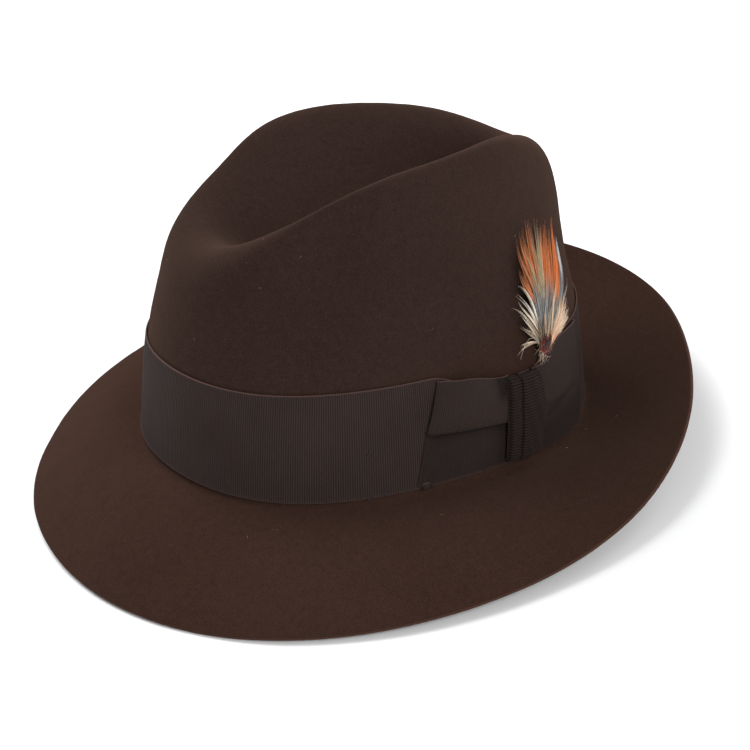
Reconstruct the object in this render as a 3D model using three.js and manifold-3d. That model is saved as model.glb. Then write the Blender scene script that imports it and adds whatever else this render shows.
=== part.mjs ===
// Snap-brim fedora, one assembly of separately named parts. Millimetres, +Z up.
// Every shape is first described in the hat's own frame: Z = 0 at the fold between
// crown and brim, -Y the front, +X the wearer's left (the bow side). The whole hat is
// then tipped back by REST_TILT and lifted, so that it stands on the floor Z = 0 on the
// front edge of its brim and on the fold at the back.
import * as THREE from "three";
import { mergeVertices } from "three/addons/utils/BufferGeometryUtils.js";
import Module from "manifold-3d";

const wasm = await Module();
wasm.setup();

// ---------------------------------------------------------------- dimensions
const COLUMNS = 40; // facets round the hat
const STEP = 360 / COLUMNS;

const REST_TILT_DEG = 7.064; // tips the front edge and the back fold onto one floor
const REST_LIFT = 15.092;
const REST_SHIFT_Y = 3.94; // puts the origin under the middle of the hat

// outer oval at the fold
const OVAL_A = 86.8,
  OVAL_B = 105.8;
const FOLD = { c2: 1.73, c4: 1.61 }; // height of the fold round the oval
const LEAN = { k0: 0.144, k1: 0.013, k2: 0.055 }; // inward lean of the crown wall
// brim
const BRIM_WIDTH = 59.95,
  BRIM_W2 = 1.18,
  BRIM_W1 = -2.82;
const EDGE = { e0: -2.28, e1: 34.87, e2: -4.69, e3: 0.44, e4: -1.1, e5: -0.93 };
const EDGE_CURVE = 1.15; // how much a steeper brim shortens its reach
const BRIM_SLOPE_IN = 0.4,
  BRIM_SLOPE_OUT = 1.5;
const FILLET = 4.0;
// ridge of the crown, the dent between its sides, and the shoulders below it
const RIDGE = {
  xa: -0.1, za: 7.0, zr5: -0.23, rt3: 0.025, ar: 53.13, rt1: -0.232, rt2: -0.115,
  yr0: -2.66, br: 71.54, zr0: 122.88, zr1: 11.39, zr2: 12.93, zr3: -0.27, zr4: -1.07,
};
const DENT = { yv0: 1.77, bv: 46.89, v0: 88.68, v1: 7.83, v2: 0.23, i6: 0.411, j6: 0.601 };
const PINCH = { depth: 8.96, at: -35.96, width: 18.89 };
const SHOULDER = { q3: 5.42, w: 12.63, w1: 1.32, w2: -4.81, d: 7.47, d1: 0.71, d2: 0.33 };

const FELT = 1.9; // felt thickness

// ribbon band and bow: height above the fold, offset from the felt wall
const BAND_LOW = 2.93,
  BAND_TOP = 48.9;
const RIBBON = 0.6;
const BAND_D = 0.35;
const BAND_SEAM_DEG = 5.0; // where the two ends of the band meet, under the bow

// hinge of the front brim
const SNAP_Y = -112.0,
  SNAP_CUT = 0.6;

// ---------------------------------------------------------------- base curves
const rad = (d) => (d * Math.PI) / 180;
const wrap = (a) => Math.atan2(Math.sin(a), Math.cos(a));
const bump = (ph, c, w) => Math.exp(-((wrap(ph - c) / w) ** 2));
const both = (ph, c, w) => bump(ph, c, w) + bump(ph, Math.PI - c, w);
const foldZ = (ph) => FOLD.c2 * Math.cos(2 * ph) + FOLD.c4 * Math.cos(4 * ph);
const edgeZ = (ph) => {
  const s = Math.sin(ph);
  return (
    EDGE.e0 + EDGE.e1 * s + EDGE.e2 * Math.cos(2 * ph) + EDGE.e3 * Math.sin(3 * ph) +
    EDGE.e4 * Math.cos(4 * ph) + EDGE.e5 * Math.sin(5 * ph)
  );
};
const leanAt = (ph) => LEAN.k0 + LEAN.k1 * Math.sin(ph) + LEAN.k2 * Math.cos(2 * ph);
function ovalNormal(ph) {
  const x = Math.cos(ph) / OVAL_A,
    y = Math.sin(ph) / OVAL_B,
    l = Math.hypot(x, y);
  return [x / l, y / l];
}

// nine control points of the crown's profile at one angle: wall, shoulder, ridge, dent
function crownControl(ph) {
  const c = Math.cos(ph),
    s = Math.sin(ph),
    [nx, ny] = ovalNormal(ph);
  const X0 = OVAL_A * c,
    Y0 = OVAL_B * s,
    z0 = foldZ(ph),
    lean = leanAt(ph),
    c2 = Math.cos(2 * ph);
  const R = RIDGE,
    S = SHOULDER,
    D = DENT;
  const xr = R.xa + R.ar * c * (1 + R.rt1 * s + R.rt2 * (s * s - 0.5) + R.rt3 * s * (1 - s * s) * 2);
  const yr = R.yr0 + R.br * s;
  const zr =
    R.za * c + R.zr5 * Math.sin(5 * ph) + R.zr0 + R.zr1 * s + R.zr2 * c2 +
    R.zr3 * Math.sin(3 * ph) + R.zr4 * Math.cos(4 * ph);
  const yv = D.yv0 + D.bv * s,
    zv = D.v0 + D.v1 * s + D.v2 * s * s;
  const pin = PINCH.depth * both(ph, rad(PINCH.at), rad(PINCH.width));
  const wall = (h) => [X0 - nx * lean * h, Y0 - ny * lean * h, z0 * (1 - h / 160) + h];
  const w = wall(78),
    in3 = pin * 0.6 + S.q3,
    out4 = S.w + S.w1 * s + S.w2 * c2 - pin;
  return [
    wall(0),
    wall(22),
    wall(50),
    [w[0] - nx * in3, w[1] - ny * in3, w[2]],
    [xr + nx * out4, yr + ny * out4, zr - (S.d + S.d1 * s + S.d2 * c2)],
    [xr, yr, zr],
    [xr * (1 - D.i6), yr + (yv - yr) * D.i6, zr + (zv - zr) * D.j6],
    [xr * 0.18, yr + (yv - yr) * 0.82, zv + 0.03 * (zr - zv)],
    [0, yv, zv],
  ];
}

// clamped uniform cubic B-spline through the control points
function basis(t, n = 9, k = 3) {
  const kn = [0, 0, 0];
  for (let i = 0; i <= n - k; i++) kn.push(i / (n - k));
  kn.push(1, 1, 1);
  t = Math.min(Math.max(t, 0), 1 - 1e-9);
  let B = kn.slice(0, -1).map((a, i) => (t >= a && t < kn[i + 1] ? 1 : 0));
  for (let d = 1; d <= k; d++) {
    const C = [];
    for (let i = 0; i < kn.length - 1 - d; i++) {
      const a = kn[i + d] - kn[i],
        b = kn[i + d + 1] - kn[i + 1];
      C.push(
        (a > 0 ? ((t - kn[i]) / a) * B[i] : 0) +
          (b > 0 ? ((kn[i + d + 1] - t) / b) * B[i + 1] : 0),
      );
    }
    B = C;
  }
  return B.slice(0, n);
}
function crownPoint(ph, t) {
  const P = crownControl(ph),
    B = basis(t),
    q = [0, 0, 0];
  for (let i = 0; i < 9; i++) for (let k = 0; k < 3; k++) q[k] += B[i] * P[i][k];
  return q;
}
// spline value at which the lower wall reaches height h (the same all round, h < 47)
function tAtHeight(h) {
  const H = [0, 22, 50, 78];
  let lo = 0,
    hi = 1 / 6;
  for (let i = 0; i < 50; i++) {
    const m = (lo + hi) / 2,
      B = basis(m);
    const v = B[0] * H[0] + B[1] * H[1] + B[2] * H[2] + B[3] * H[3];
    if (v < h) lo = m;
    else hi = m;
  }
  return lo;
}

// brim: reach q out from the fold along the oval's normal
function brimReach(ph) {
  const W = BRIM_WIDTH + BRIM_W2 * Math.cos(2 * ph) + BRIM_W1 * Math.sin(ph);
  const dz = edgeZ(ph) - foldZ(ph);
  return Math.sqrt(W * W - EDGE_CURVE * dz * dz);
}
function brimPoint(ph, u) {
  const [nx, ny] = ovalNormal(ph),
    w = brimReach(ph),
    dz = edgeZ(ph) - foldZ(ph),
    m = dz / w;
  const h10 = u * (1 - u) ** 2,
    h01 = u * u * (3 - 2 * u),
    h11 = u * u * (u - 1);
  const z = foldZ(ph) + h10 * w * m * BRIM_SLOPE_IN + h01 * dz + h11 * w * m * BRIM_SLOPE_OUT;
  const q = u * w;
  return [OVAL_A * Math.cos(ph) + nx * q, OVAL_B * Math.sin(ph) + ny * q, z];
}

// ---------------------------------------------------------------- felt shell
const T_WALL = [4, 16, 30, 42].map(tAtHeight);
const T_UPPER = [0.172, 0.24, 0.32, 0.4, 0.46, 0.52, 0.57, 0.62, 0.67, 0.73, 0.8, 0.89, 1.0];
const angleOf = (i) => rad(-90 + i * STEP);

function outerColumn(ph) {
  const col = [];
  for (const u of [1, 2 / 3, 1 / 3]) col.push(brimPoint(ph, u));
  const w = brimReach(ph);
  const A = brimPoint(ph, FILLET / w),
    C = crownPoint(ph, T_WALL[0]),
    K = brimPoint(ph, 0);
  col.push(A);
  for (const v of [0.4, 0.75])
    col.push([0, 1, 2].map((k) => (1 - v) ** 2 * A[k] + 2 * v * (1 - v) * K[k] + v * v * C[k]));
  for (const t of T_WALL) col.push(crownPoint(ph, t));
  for (const t of T_UPPER) col.push(crownPoint(ph, t));
  return col;
}
const RINGS = 6 + T_WALL.length + T_UPPER.length;
const R_FILLET_END = 6; // index of the ring at h = 4
const outer = [];
for (let i = 0; i < COLUMNS; i++) outer.push(outerColumn(angleOf(i)));
// the last ring folds onto the dent's line: column i and its mirror share a vertex
const key = (i, r) => {
  i = ((i % COLUMNS) + COLUMNS) % COLUMNS;
  if (r === RINGS - 1) i = Math.min(i, (COLUMNS - i) % COLUMNS);
  return r * COLUMNS + i;
};
const normals = new Map();
{
  const add = (k, n) => {
    const m = normals.get(k) || new THREE.Vector3();
    m.add(n);
    normals.set(k, m);
  };
  const V = (i, r) => {
    const m = ((i % COLUMNS) + COLUMNS) % COLUMNS;
    const j = r === RINGS - 1 ? Math.min(m, (COLUMNS - m) % COLUMNS) : m;
    return new THREE.Vector3(...outer[j][r]);
  };
  for (let i = 0; i < COLUMNS; i++)
    for (let r = 0; r < RINGS - 1; r++) {
      const a = V(i, r), b = V(i + 1, r), c = V(i + 1, r + 1), d = V(i, r + 1);
      const n1 = new THREE.Vector3().subVectors(b, a).cross(new THREE.Vector3().subVectors(c, a));
      const n2 = new THREE.Vector3().subVectors(c, a).cross(new THREE.Vector3().subVectors(d, a));
      for (const k of [key(i, r), key(i + 1, r), key(i + 1, r + 1)]) add(k, n1);
      for (const k of [key(i, r), key(i + 1, r + 1), key(i, r + 1)]) add(k, n2);
    }
  for (const n of normals.values()) n.normalize();
}
// a point of the shell, moved along the felt's normal by d (negative is inside)
function shellPoint(i, r, d) {
  const m = ((i % COLUMNS) + COLUMNS) % COLUMNS;
  const j = r === RINGS - 1 ? Math.min(m, (COLUMNS - m) % COLUMNS) : m;
  const p = new THREE.Vector3(...outer[j][r]);
  if (d) p.addScaledVector(normals.get(key(i, r)), d);
  return p;
}

function geometryOf(points, faces) {
  const pos = [];
  for (const f of faces) for (const v of f) pos.push(points[v].x, points[v].y, points[v].z);
  const g = new THREE.BufferGeometry();
  g.setAttribute("position", new THREE.Float32BufferAttribute(pos, 3));
  return g;
}
// shell between two depths from ring r0 to ring r1; past the last ring it is closed
function shell(r0, r1, dOut, dIn) {
  const pts = [], idx = new Map();
  const at = (i, r, side) => {
    const k = key(i, r) + ":" + side;
    if (!idx.has(k)) {
      idx.set(k, pts.length);
      pts.push(shellPoint(i, r, side ? dIn : dOut));
    }
    return idx.get(k);
  };
  const faces = [];
  const tri = (a, b, c) => { if (a !== b && b !== c && a !== c) faces.push([a, b, c]); };
  for (let i = 0; i < COLUMNS; i++) {
    for (let r = r0; r < r1; r++) {
      tri(at(i, r, 0), at(i + 1, r, 0), at(i + 1, r + 1, 0));
      tri(at(i, r, 0), at(i + 1, r + 1, 0), at(i, r + 1, 0));
      tri(at(i, r, 1), at(i + 1, r + 1, 1), at(i + 1, r, 1));
      tri(at(i, r, 1), at(i, r + 1, 1), at(i + 1, r + 1, 1));
    }
    tri(at(i, r0, 1), at(i + 1, r0, 1), at(i + 1, r0, 0));
    tri(at(i, r0, 1), at(i + 1, r0, 0), at(i, r0, 0));
    if (r1 < RINGS - 1) {
      tri(at(i, r1, 0), at(i + 1, r1, 0), at(i + 1, r1, 1));
      tri(at(i, r1, 0), at(i + 1, r1, 1), at(i, r1, 1));
    }
  }
  return geometryOf(pts, faces);
}

// ---------------------------------------------------------------- wall coordinates
// (angle in degrees, height above the fold, offset from the felt's outer face)
function columnAt(i, h) {
  const m = ((i % COLUMNS) + COLUMNS) % COLUMNS,
    z0 = foldZ(angleOf(m)),
    col = outer[m].slice(R_FILLET_END, R_FILLET_END + 10);
  const hs = col.map((p) => (p[2] - z0) / (1 - z0 / 160));
  let k = 0;
  while (k < hs.length - 2 && h > hs[k + 1]) k++;
  const f = (h - hs[k]) / (hs[k + 1] - hs[k]);
  return [0, 1, 2].map((q) => col[k][q] * (1 - f) + col[k + 1][q] * f);
}
function wallPoint(deg, h, d) {
  const x = (deg + 90) / STEP,
    i = Math.floor(x + 1e-9),
    f = x - i;
  const A = columnAt(i, h), B = columnAt(i + 1, h);
  const nA = ovalNormal(angleOf(i)), nB = ovalNormal(angleOf(i + 1));
  return new THREE.Vector3(
    A[0] * (1 - f) + B[0] * f + (nA[0] * (1 - f) + nB[0] * f) * d,
    A[1] * (1 - f) + B[1] * f + (nA[1] * (1 - f) + nB[1] * f) * d,
    A[2] * (1 - f) + B[2] * f,
  );
}
// angles from a to b that include every facet corner between them
function angles(a, b, extra = []) {
  const out = new Set([a, b, ...extra]);
  for (let k = Math.ceil((a + 90) / STEP); k * STEP - 90 < b; k++) {
    const v = k * STEP - 90;
    if (v > a + 0.05 && v < b - 0.05) out.add(v);
  }
  return [...out].sort((p, q) => p - q);
}
// triangles of an outline, each counter-clockwise
function triangulate(s) {
  return THREE.ShapeUtils.triangulateShape(s, []).map(([a, b, c]) => {
    const v =
      (s[b].x - s[a].x) * (s[c].y - s[a].y) - (s[b].y - s[a].y) * (s[c].x - s[a].x);
    return v < 0 ? [a, c, b] : [a, b, c];
  });
}
// sweep: at each angle a closed section of [h, d] corners, counter-clockwise seen with d right, h up
function sweep(degs, section, closed = false) {
  const pts = [], faces = [];
  const secs = degs.map((a) => section(a));
  const m = secs[0].length;
  degs.forEach((a, i) => secs[i].forEach(([h, d]) => pts.push(wallPoint(a, h, d))));
  const n = degs.length;
  for (let i = 0; i < (closed ? n : n - 1); i++) {
    const j = (i + 1) % n;
    for (let k = 0; k < m; k++) {
      const l = (k + 1) % m,
        [a, b, c, d] = [i * m + k, j * m + k, j * m + l, i * m + l];
      // every layer splits its facets along the same diagonal, so layers keep their gaps
      if (secs[i][l][0] < secs[i][k][0]) faces.push([a, b, d], [b, c, d]);
      else faces.push([a, b, c], [a, c, d]);
    }
  }
  if (!closed) {
    const cap = (i, flip) => {
      const s = secs[i].map(([h, d]) => new THREE.Vector2(d, h));
      const ccw = THREE.ShapeUtils.area(s) > 0;
      for (const t of triangulate(s)) {
        const f = t.map((v) => i * m + v);
        faces.push(flip === ccw ? f.reverse() : f);
      }
    };
    cap(0, false);
    cap(n - 1, true);
  }
  const g = geometryOf(pts, faces);
  return orient(g);
}
// turn a closed geometry outwards if its faces point in
function volumeOf(g) {
  const p = g.getAttribute("position");
  let v = 0;
  for (let i = 0; i < p.count; i += 3) {
    const a = new THREE.Vector3().fromBufferAttribute(p, i),
      b = new THREE.Vector3().fromBufferAttribute(p, i + 1),
      c = new THREE.Vector3().fromBufferAttribute(p, i + 2);
    v += a.dot(b.cross(c));
  }
  return v;
}
function orient(g) {
  if (volumeOf(g) >= 0) return g;
  const p = g.getAttribute("position").array;
  for (let i = 0; i < p.length; i += 9)
    for (let k = 0; k < 3; k++) [p[i + 3 + k], p[i + 6 + k]] = [p[i + 6 + k], p[i + 3 + k]];
  return g;
}
const band = (lo, hi, d0, d1, mids = []) => () => {
  const hs = [lo, ...mids.filter((m) => m > lo + 0.5 && m < hi - 0.5), hi];
  return [...hs.map((h) => [h, d1]), ...hs.slice().reverse().map((h) => [h, d0])];
};
const fullCircle = [...Array(COLUMNS).keys()].map((i) => -90 + i * STEP);

// ---------------------------------------------------------------- booleans
function solid(g) {
  const m = mergeVertices(g.index ? g.toNonIndexed() : g, 1e-4);
  return new wasm.Manifold(
    new wasm.Mesh({
      numProp: 3,
      vertProperties: m.attributes.position.array,
      triVerts: new Uint32Array(m.index.array),
    }),
  );
}
function geometryFrom(s) {
  const m = s.getMesh(), n = m.numProp, pos = [];
  for (const v of m.triVerts) pos.push(m.vertProperties[v * n], m.vertProperties[v * n + 1], m.vertProperties[v * n + 2]);
  const g = new THREE.BufferGeometry();
  g.setAttribute("position", new THREE.Float32BufferAttribute(pos, 3));
  return g;
}
function boxGeometry(lo, hi) {
  const g = new THREE.BoxGeometry(hi[0] - lo[0], hi[1] - lo[1], hi[2] - lo[2]);
  g.translate((lo[0] + hi[0]) / 2, (lo[1] + hi[1]) / 2, (lo[2] + hi[2]) / 2);
  const q = g.toNonIndexed();
  q.deleteAttribute("normal");
  q.deleteAttribute("uv");
  return q;
}

// ---------------------------------------------------------------- assembly
const hat = new THREE.Group();
hat.name = "snap_brim_fedora";
const material = (hex, roughness, metalness = 0) =>
  new THREE.MeshStandardMaterial({ color: hex, roughness, metalness });
const M = {
  felt: material(0x3a2a25, 0.95),
  ribbon: material(0x342c2a, 0.8),
  leather: material(0x4a3022, 0.55),
  satin: material(0x8a7a5c, 0.35),
  thread: material(0x221b19, 0.8),
  plastic: material(0xd8d2c4, 0.4),
  feather_orange: material(0xb85a20, 0.8),
  feather_grey: material(0xb9b2a4, 0.8),
  feather_white: material(0xd9dce0, 0.7),
  feather_cream: material(0xc9a795, 0.85),
  feather_dark: material(0x3a0f0c, 0.8),
  quill: material(0xc9b58c, 0.6),
  paper: material(0xd9d2bd, 0.8),
};
const rest = new THREE.Matrix4()
  .makeTranslation(0, REST_SHIFT_Y, REST_LIFT)
  .multiply(new THREE.Matrix4().makeRotationX(rad(-REST_TILT_DEG)));
function add(name, geometry, mat) {
  const g = geometry.clone().applyMatrix4(rest);
  g.computeVertexNormals();
  const mesh = new THREE.Mesh(g, mat);
  mesh.name = name;
  hat.add(mesh);
  return mesh;
}

// felt: one shell, cut across the front of the brim where it snaps
const feltSolid = solid(shell(0, RINGS - 1, 0, -FELT));
const front = boxGeometry([-200, -260, -120], [200, SNAP_Y - SNAP_CUT / 2, 120]);
const frontPlus = boxGeometry([-200, -260, -120], [200, SNAP_Y + SNAP_CUT / 2, 120]);
add("felt_body", geometryFrom(feltSolid.subtract(solid(frontPlus))), M.felt);
add("brim_front", geometryFrom(feltSolid.intersect(solid(front))), M.felt);

// hatband: a length of ribbon right round, its ends meeting under the bow
const RING_H = [4, 16, 30, 42];
add(
  "hatband",
  sweep(
    angles(BAND_SEAM_DEG + 0.25, BAND_SEAM_DEG + 359.75),
    () => [
      [BAND_LOW, 1.35], [5.5, BAND_D + RIBBON], [16, BAND_D + RIBBON], [30, BAND_D + RIBBON], [42, BAND_D + RIBBON], [BAND_TOP, BAND_D + RIBBON],
      [BAND_TOP, BAND_D], [42, BAND_D], [30, BAND_D], [16, BAND_D], [5.5, BAND_D], [BAND_LOW, 0.75],
    ],
  ),
  M.ribbon,
);
// small stitches that hold the band
function stitch(deg, h, len, tall) {
  return sweep(angles(deg - len / 2, deg + len / 2), band(h - tall / 2, h + tall / 2, 1.45, 1.8));
}
add("band_tack_a", stitch(-22.9, 5.2, 0.6, 0.9), M.thread);
add("band_tack_b", stitch(-19.4, 4.9, 0.6, 0.9), M.thread);
add("band_tack_c", stitch(-22.9, 22.8, 0.6, 0.9), M.thread);

// bow
add("bow_backing", sweep(angles(-7, 21), band(6, 45, 1.5, 1.9, RING_H)), M.ribbon);
add(
  "bow_tail",
  sweep(angles(-10.5, -7.6), band(3.2, 5.4, 1.75, 2.05)),
  M.ribbon,
);
add(
  "bow_wing_lower",
  sweep(angles(-11.4, 16), (a) => band(3.4, 31, 2.4, 3.0, RING_H)()),
  M.ribbon,
);
// upper fold: bulges away from the band between its left edge and the knot
add(
  "bow_wing_upper",
  sweep(angles(-9.5, 16.2, [-4, 4, 12]), (a) => {
    const f = Math.max(0, Math.min(1, (a + 9.5) / 25.7));
    const out = 1.6 * Math.sin(Math.PI * f) ** 0.8;
    const lowEdge = 26.5 - 4.5 * f;
    return [
      [lowEdge, 4.0 + out], [30, 4.1 + out], [42, 4.0 + out], [47.6, 3.9],
      [47.6, 3.3], [42, 3.4 + out], [30, 3.5 + out], [lowEdge, 3.4 + out],
    ];
  }),
  M.ribbon,
);
add(
  "bow_wing_rear",
  sweep(angles(20.5, 51, [26, 40]), (a) => {
    const f = Math.max(0, Math.min(1, (a - 20.5) / 30.5));
    const out = 1.5 * Math.sin(Math.PI * f);
    return [
      [4, 3.7], [16, 3.7 + out * 0.8], [30, 3.7 + out], [42, 3.7 + out * 0.6], [48, 3.7],
      [48, 3.1], [42, 3.1 + out * 0.6], [30, 3.1 + out], [16, 3.1 + out * 0.8], [4, 3.1],
    ];
  }),
  M.ribbon,
);
// knot: a short length of ribbon wrapped over the wings and turned in at both ends
add(
  "bow_knot",
  sweep(angles(11.6, 23.8, [15.4, 15.9]), (a) => {
    const out = a < 15.6 ? 0 : 0.8;
    return [
      [5.2, 6.0 + out], [16, 6.6 + out], [30, 6.9 + out], [42, 6.6 + out], [48.6, 6.0 + out],
      [49.6, 4.6], [48.9, 4.5], [48.0, 5.4 + out], [42, 6.0 + out], [30, 6.25 + out], [16, 6.0 + out], [5.4, 5.4 + out],
    ];
  }),
  M.ribbon,
);

// feather: a bundle on one quill, standing in the pocket between band and bow
const FEATHER_DEG = 28.4;
const quillBase = wallPoint(FEATHER_DEG, 24, 2.0);
const fO = wallPoint(FEATHER_DEG, 46.2, 2.0);
const fU = new THREE.Vector3().subVectors(fO, quillBase).normalize();
const nf = ovalNormal(rad(FEATHER_DEG));
const fT = new THREE.Vector3(0, 0, 1).cross(new THREE.Vector3(nf[0], nf[1], 0)).normalize();
const fN = new THREE.Vector3().crossVectors(fT, fU).normalize();
// a point of the feather's plane: a towards the back, b up the quill, c away from the felt
const featherPoint = (a, b, c) =>
  fO.clone().addScaledVector(fT, a).addScaledVector(fU, b).addScaledVector(fN, c);
function plate(outline, c0, c1, bend = () => 0) {
  if (THREE.ShapeUtils.area(outline.map(([a, b]) => new THREE.Vector2(a, b))) < 0)
    outline = outline.slice().reverse();
  const s = outline.map(([a, b]) => new THREE.Vector2(a, b));
  const tris = triangulate(s);
  const n = outline.length, pts = [], faces = [];
  for (const [a, b] of outline) pts.push(featherPoint(a, b, c0 + bend(a, b)));
  for (const [a, b] of outline) pts.push(featherPoint(a, b, c1 + bend(a, b)));
  for (const [a, b, c] of tris) faces.push([c, b, a], [n + a, n + b, n + c]);
  for (let i = 0; i < n; i++) {
    const j = (i + 1) % n;
    faces.push([i, j, n + j], [i, n + j, n + i]);
  }
  return orient(geometryOf(pts, faces));
}
function rod(p0, p1, r, sides = 6) {
  const pts = [], faces = [];
  const u = new THREE.Vector3().subVectors(p1, p0).normalize();
  for (const p of [p0, p1])
    for (let k = 0; k < sides; k++) {
      const t = (2 * Math.PI * k) / sides;
      pts.push(p.clone().addScaledVector(fT, r * Math.cos(t)).addScaledVector(fN, r * Math.sin(t)));
    }
  for (let k = 0; k < sides; k++) {
    const j = (k + 1) % sides;
    faces.push([k, j, sides + j], [k, sides + j, sides + k]);
    if (k > 1) faces.push([0, k, k - 1], [sides, sides + k - 1, sides + k]);
  }
  return orient(geometryOf(pts, faces));
}
add("feather_quill", rod(featherPoint(0.5, -22, 0), featherPoint(2.5, 30, 0), 0.55), M.quill);
add(
  "feather_badger",
  plate([[-1.5, 4.6], [-17, 11], [-12, 27], [-5, 38], [1, 44], [1.6, 22], [0.9, 4.6]], 1.1, 1.7),
  M.feather_grey,
);
add(
  "feather_hackle",
  plate([[-0.5, 4.6], [-3, 20], [-2, 40], [1.5, 57], [12, 57], [22, 50], [20, 36], [12, 18], [4, 4.6]], 2.1, 2.8),
  M.feather_orange,
);
add(
  "feather_fluff",
  plate([[5.2, 4.6], [13.2, 17.5], [20.5, 32], [27, 22], [28, 10], [18, 4.6]], 1.1, 1.7),
  M.feather_cream,
);
add(
  "feather_sliver",
  plate([[20.8, 34], [23.2, 50], [26.5, 38], [26, 25.5]], 2.1, 2.6),
  M.feather_white,
);
add("feather_tuft", plate([[-2.5, 2.4], [-3.5, 4.2], [6.5, 4.2], [5, 2.4]], 0.9, 2.4), M.feather_dark);

// ---------------------------------------------------------------- inside
// height of the seam between the lining's side and its tip, a little under the dent
const seamH = (ph) => {
  const s = Math.sin(ph);
  return DENT.v0 + DENT.v1 * s + DENT.v2 * s * s - 8;
};
add(
  "lining_side",
  sweep(
    fullCircle,
    (a) => {
      const top = seamH(rad(a));
      return [
        [16, -2.3], [30, -2.3], [42, -2.3], [53, -2.4], [66, -3.0], [top, -3.5],
        [top, -3.9], [66, -3.35], [53, -2.75], [42, -2.65], [30, -2.65], [16, -2.65],
      ];
    },
    true,
  ),
  M.satin,
);
// piping round the seam
add(
  "lining_piping",
  sweep(fullCircle, (a) => band(seamH(rad(a)) - 2.2, seamH(rad(a)) - 1.4, -5.1, -4.3)(), true),
  M.satin,
);
// tip: an oval of satin that dips with the dent
function tip(drop, thick) {
  const K = 4, pts = [], idx = new Map(), faces = [];
  const at = (i, k, side) => {
    let m = ((i % COLUMNS) + COLUMNS) % COLUMNS;
    if (k === K) m = Math.min(m, (COLUMNS - m) % COLUMNS);
    const name = m + ":" + k + ":" + side;
    if (!idx.has(name)) {
      const ph = angleOf(m), s = Math.sin(ph), f = k / K;
      const A = wallPoint(-90 + m * STEP, seamH(ph) + 0.9, -4.4);
      const B = new THREE.Vector3(0, DENT.yv0 + DENT.bv * s * 0.9, DENT.v0 + DENT.v1 * s * 0.9 + DENT.v2 * s * s - drop);
      const p = A.clone().lerp(B, f);
      p.z += 1.2 * Math.sin(Math.PI * f) - (side ? thick : 0);
      idx.set(name, pts.length);
      pts.push(p);
    }
    return idx.get(name);
  };
  const tri = (a, b, c) => { if (a !== b && b !== c && a !== c) faces.push([a, b, c]); };
  for (let i = 0; i < COLUMNS; i++) {
    for (let k = 0; k < K; k++) {
      tri(at(i, k, 0), at(i + 1, k, 0), at(i + 1, k + 1, 0));
      tri(at(i, k, 0), at(i + 1, k + 1, 0), at(i, k + 1, 0));
      tri(at(i, k, 1), at(i + 1, k + 1, 1), at(i + 1, k, 1));
      tri(at(i, k, 1), at(i, k + 1, 1), at(i + 1, k + 1, 1));
    }
    tri(at(i, 0, 1), at(i + 1, 0, 1), at(i + 1, 0, 0));
    tri(at(i, 0, 1), at(i + 1, 0, 0), at(i, 0, 0));
  }
  return orient(geometryOf(pts, faces));
}
add("lining_tip", tip(5.5, 0.4), M.satin);
// sweatband with its reed in a folded tape along the lower edge
const SWEAT_D = -3.15,
  LEATHER = 0.9;
add(
  "sweatband",
  sweep(fullCircle, band(3.4, 50, SWEAT_D - LEATHER, SWEAT_D, RING_H.slice(1)), true),
  M.leather,
);
const REED_H = 1.2,
  REED_D = -3.5;
add(
  "sweatband_reed",
  sweep(fullCircle, () => [[REED_H - 0.35, REED_D], [REED_H, REED_D + 0.35], [REED_H + 0.35, REED_D], [REED_H, REED_D - 0.35]], true),
  M.plastic,
);
add(
  "reed_tape",
  sweep(
    fullCircle,
    () => [
      [REED_H, REED_D + 1.15], [10, -2.35], [10, -2.65], [REED_H, REED_D + 0.85],
      [REED_H - 0.85, REED_D + 0.35], [REED_H - 0.85, REED_D - 0.35], [REED_H + 0.4, REED_D - 0.85],
      [REED_H + 0.4, REED_D - 1.15], [REED_H - 1.15, REED_D - 0.5], [REED_H - 1.15, REED_D + 0.5],
    ],
    true,
  ),
  M.ribbon,
);
add(
  "sweatband_thread",
  sweep(fullCircle, band(5.0, 5.45, SWEAT_D - LEATHER - 0.8, SWEAT_D - LEATHER - 0.35), true),
  M.thread,
);
add(
  "sweatband_bow",
  sweep(angles(85, 95, [89.2, 90.8]), (a) => {
    const k = Math.abs(a - 90) < 1 ? 1.0 : 2.6;
    return [[10.5 - k, -4.35], [10.5 + k, -4.35], [10.5 + k, -5.3], [10.5 - k, -5.3]].reverse();
  }),
  M.ribbon,
);
add("size_tag", sweep(angles(100, 109), band(18, 27, -4.65, -4.35)), M.paper);

export default hat;
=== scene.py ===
import math

import bpy
import numpy as np
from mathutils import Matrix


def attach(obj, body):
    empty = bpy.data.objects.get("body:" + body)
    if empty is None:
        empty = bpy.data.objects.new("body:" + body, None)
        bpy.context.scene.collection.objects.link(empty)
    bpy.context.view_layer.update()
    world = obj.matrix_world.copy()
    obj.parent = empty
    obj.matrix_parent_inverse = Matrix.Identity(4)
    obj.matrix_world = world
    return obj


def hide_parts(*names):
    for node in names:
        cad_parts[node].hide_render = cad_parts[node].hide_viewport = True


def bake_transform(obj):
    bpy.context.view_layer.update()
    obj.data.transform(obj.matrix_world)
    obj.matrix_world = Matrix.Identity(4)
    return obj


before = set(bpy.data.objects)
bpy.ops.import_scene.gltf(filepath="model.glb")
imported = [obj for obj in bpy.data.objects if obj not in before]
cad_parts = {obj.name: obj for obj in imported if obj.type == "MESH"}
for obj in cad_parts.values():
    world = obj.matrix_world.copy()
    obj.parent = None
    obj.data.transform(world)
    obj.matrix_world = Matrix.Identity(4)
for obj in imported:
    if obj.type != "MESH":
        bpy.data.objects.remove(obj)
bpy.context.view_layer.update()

rng = np.random.default_rng(11)
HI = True

# ------------------------------------------------------------------ shape (millimetres, the hat's own frame)
TILT, LIFT, SHIFT_Y = math.radians(7.064), 15.092, 3.94
A, B = 86.8, 105.8
FELT, FILLET = 1.9, 4.0
TAU = 2 * math.pi


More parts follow.
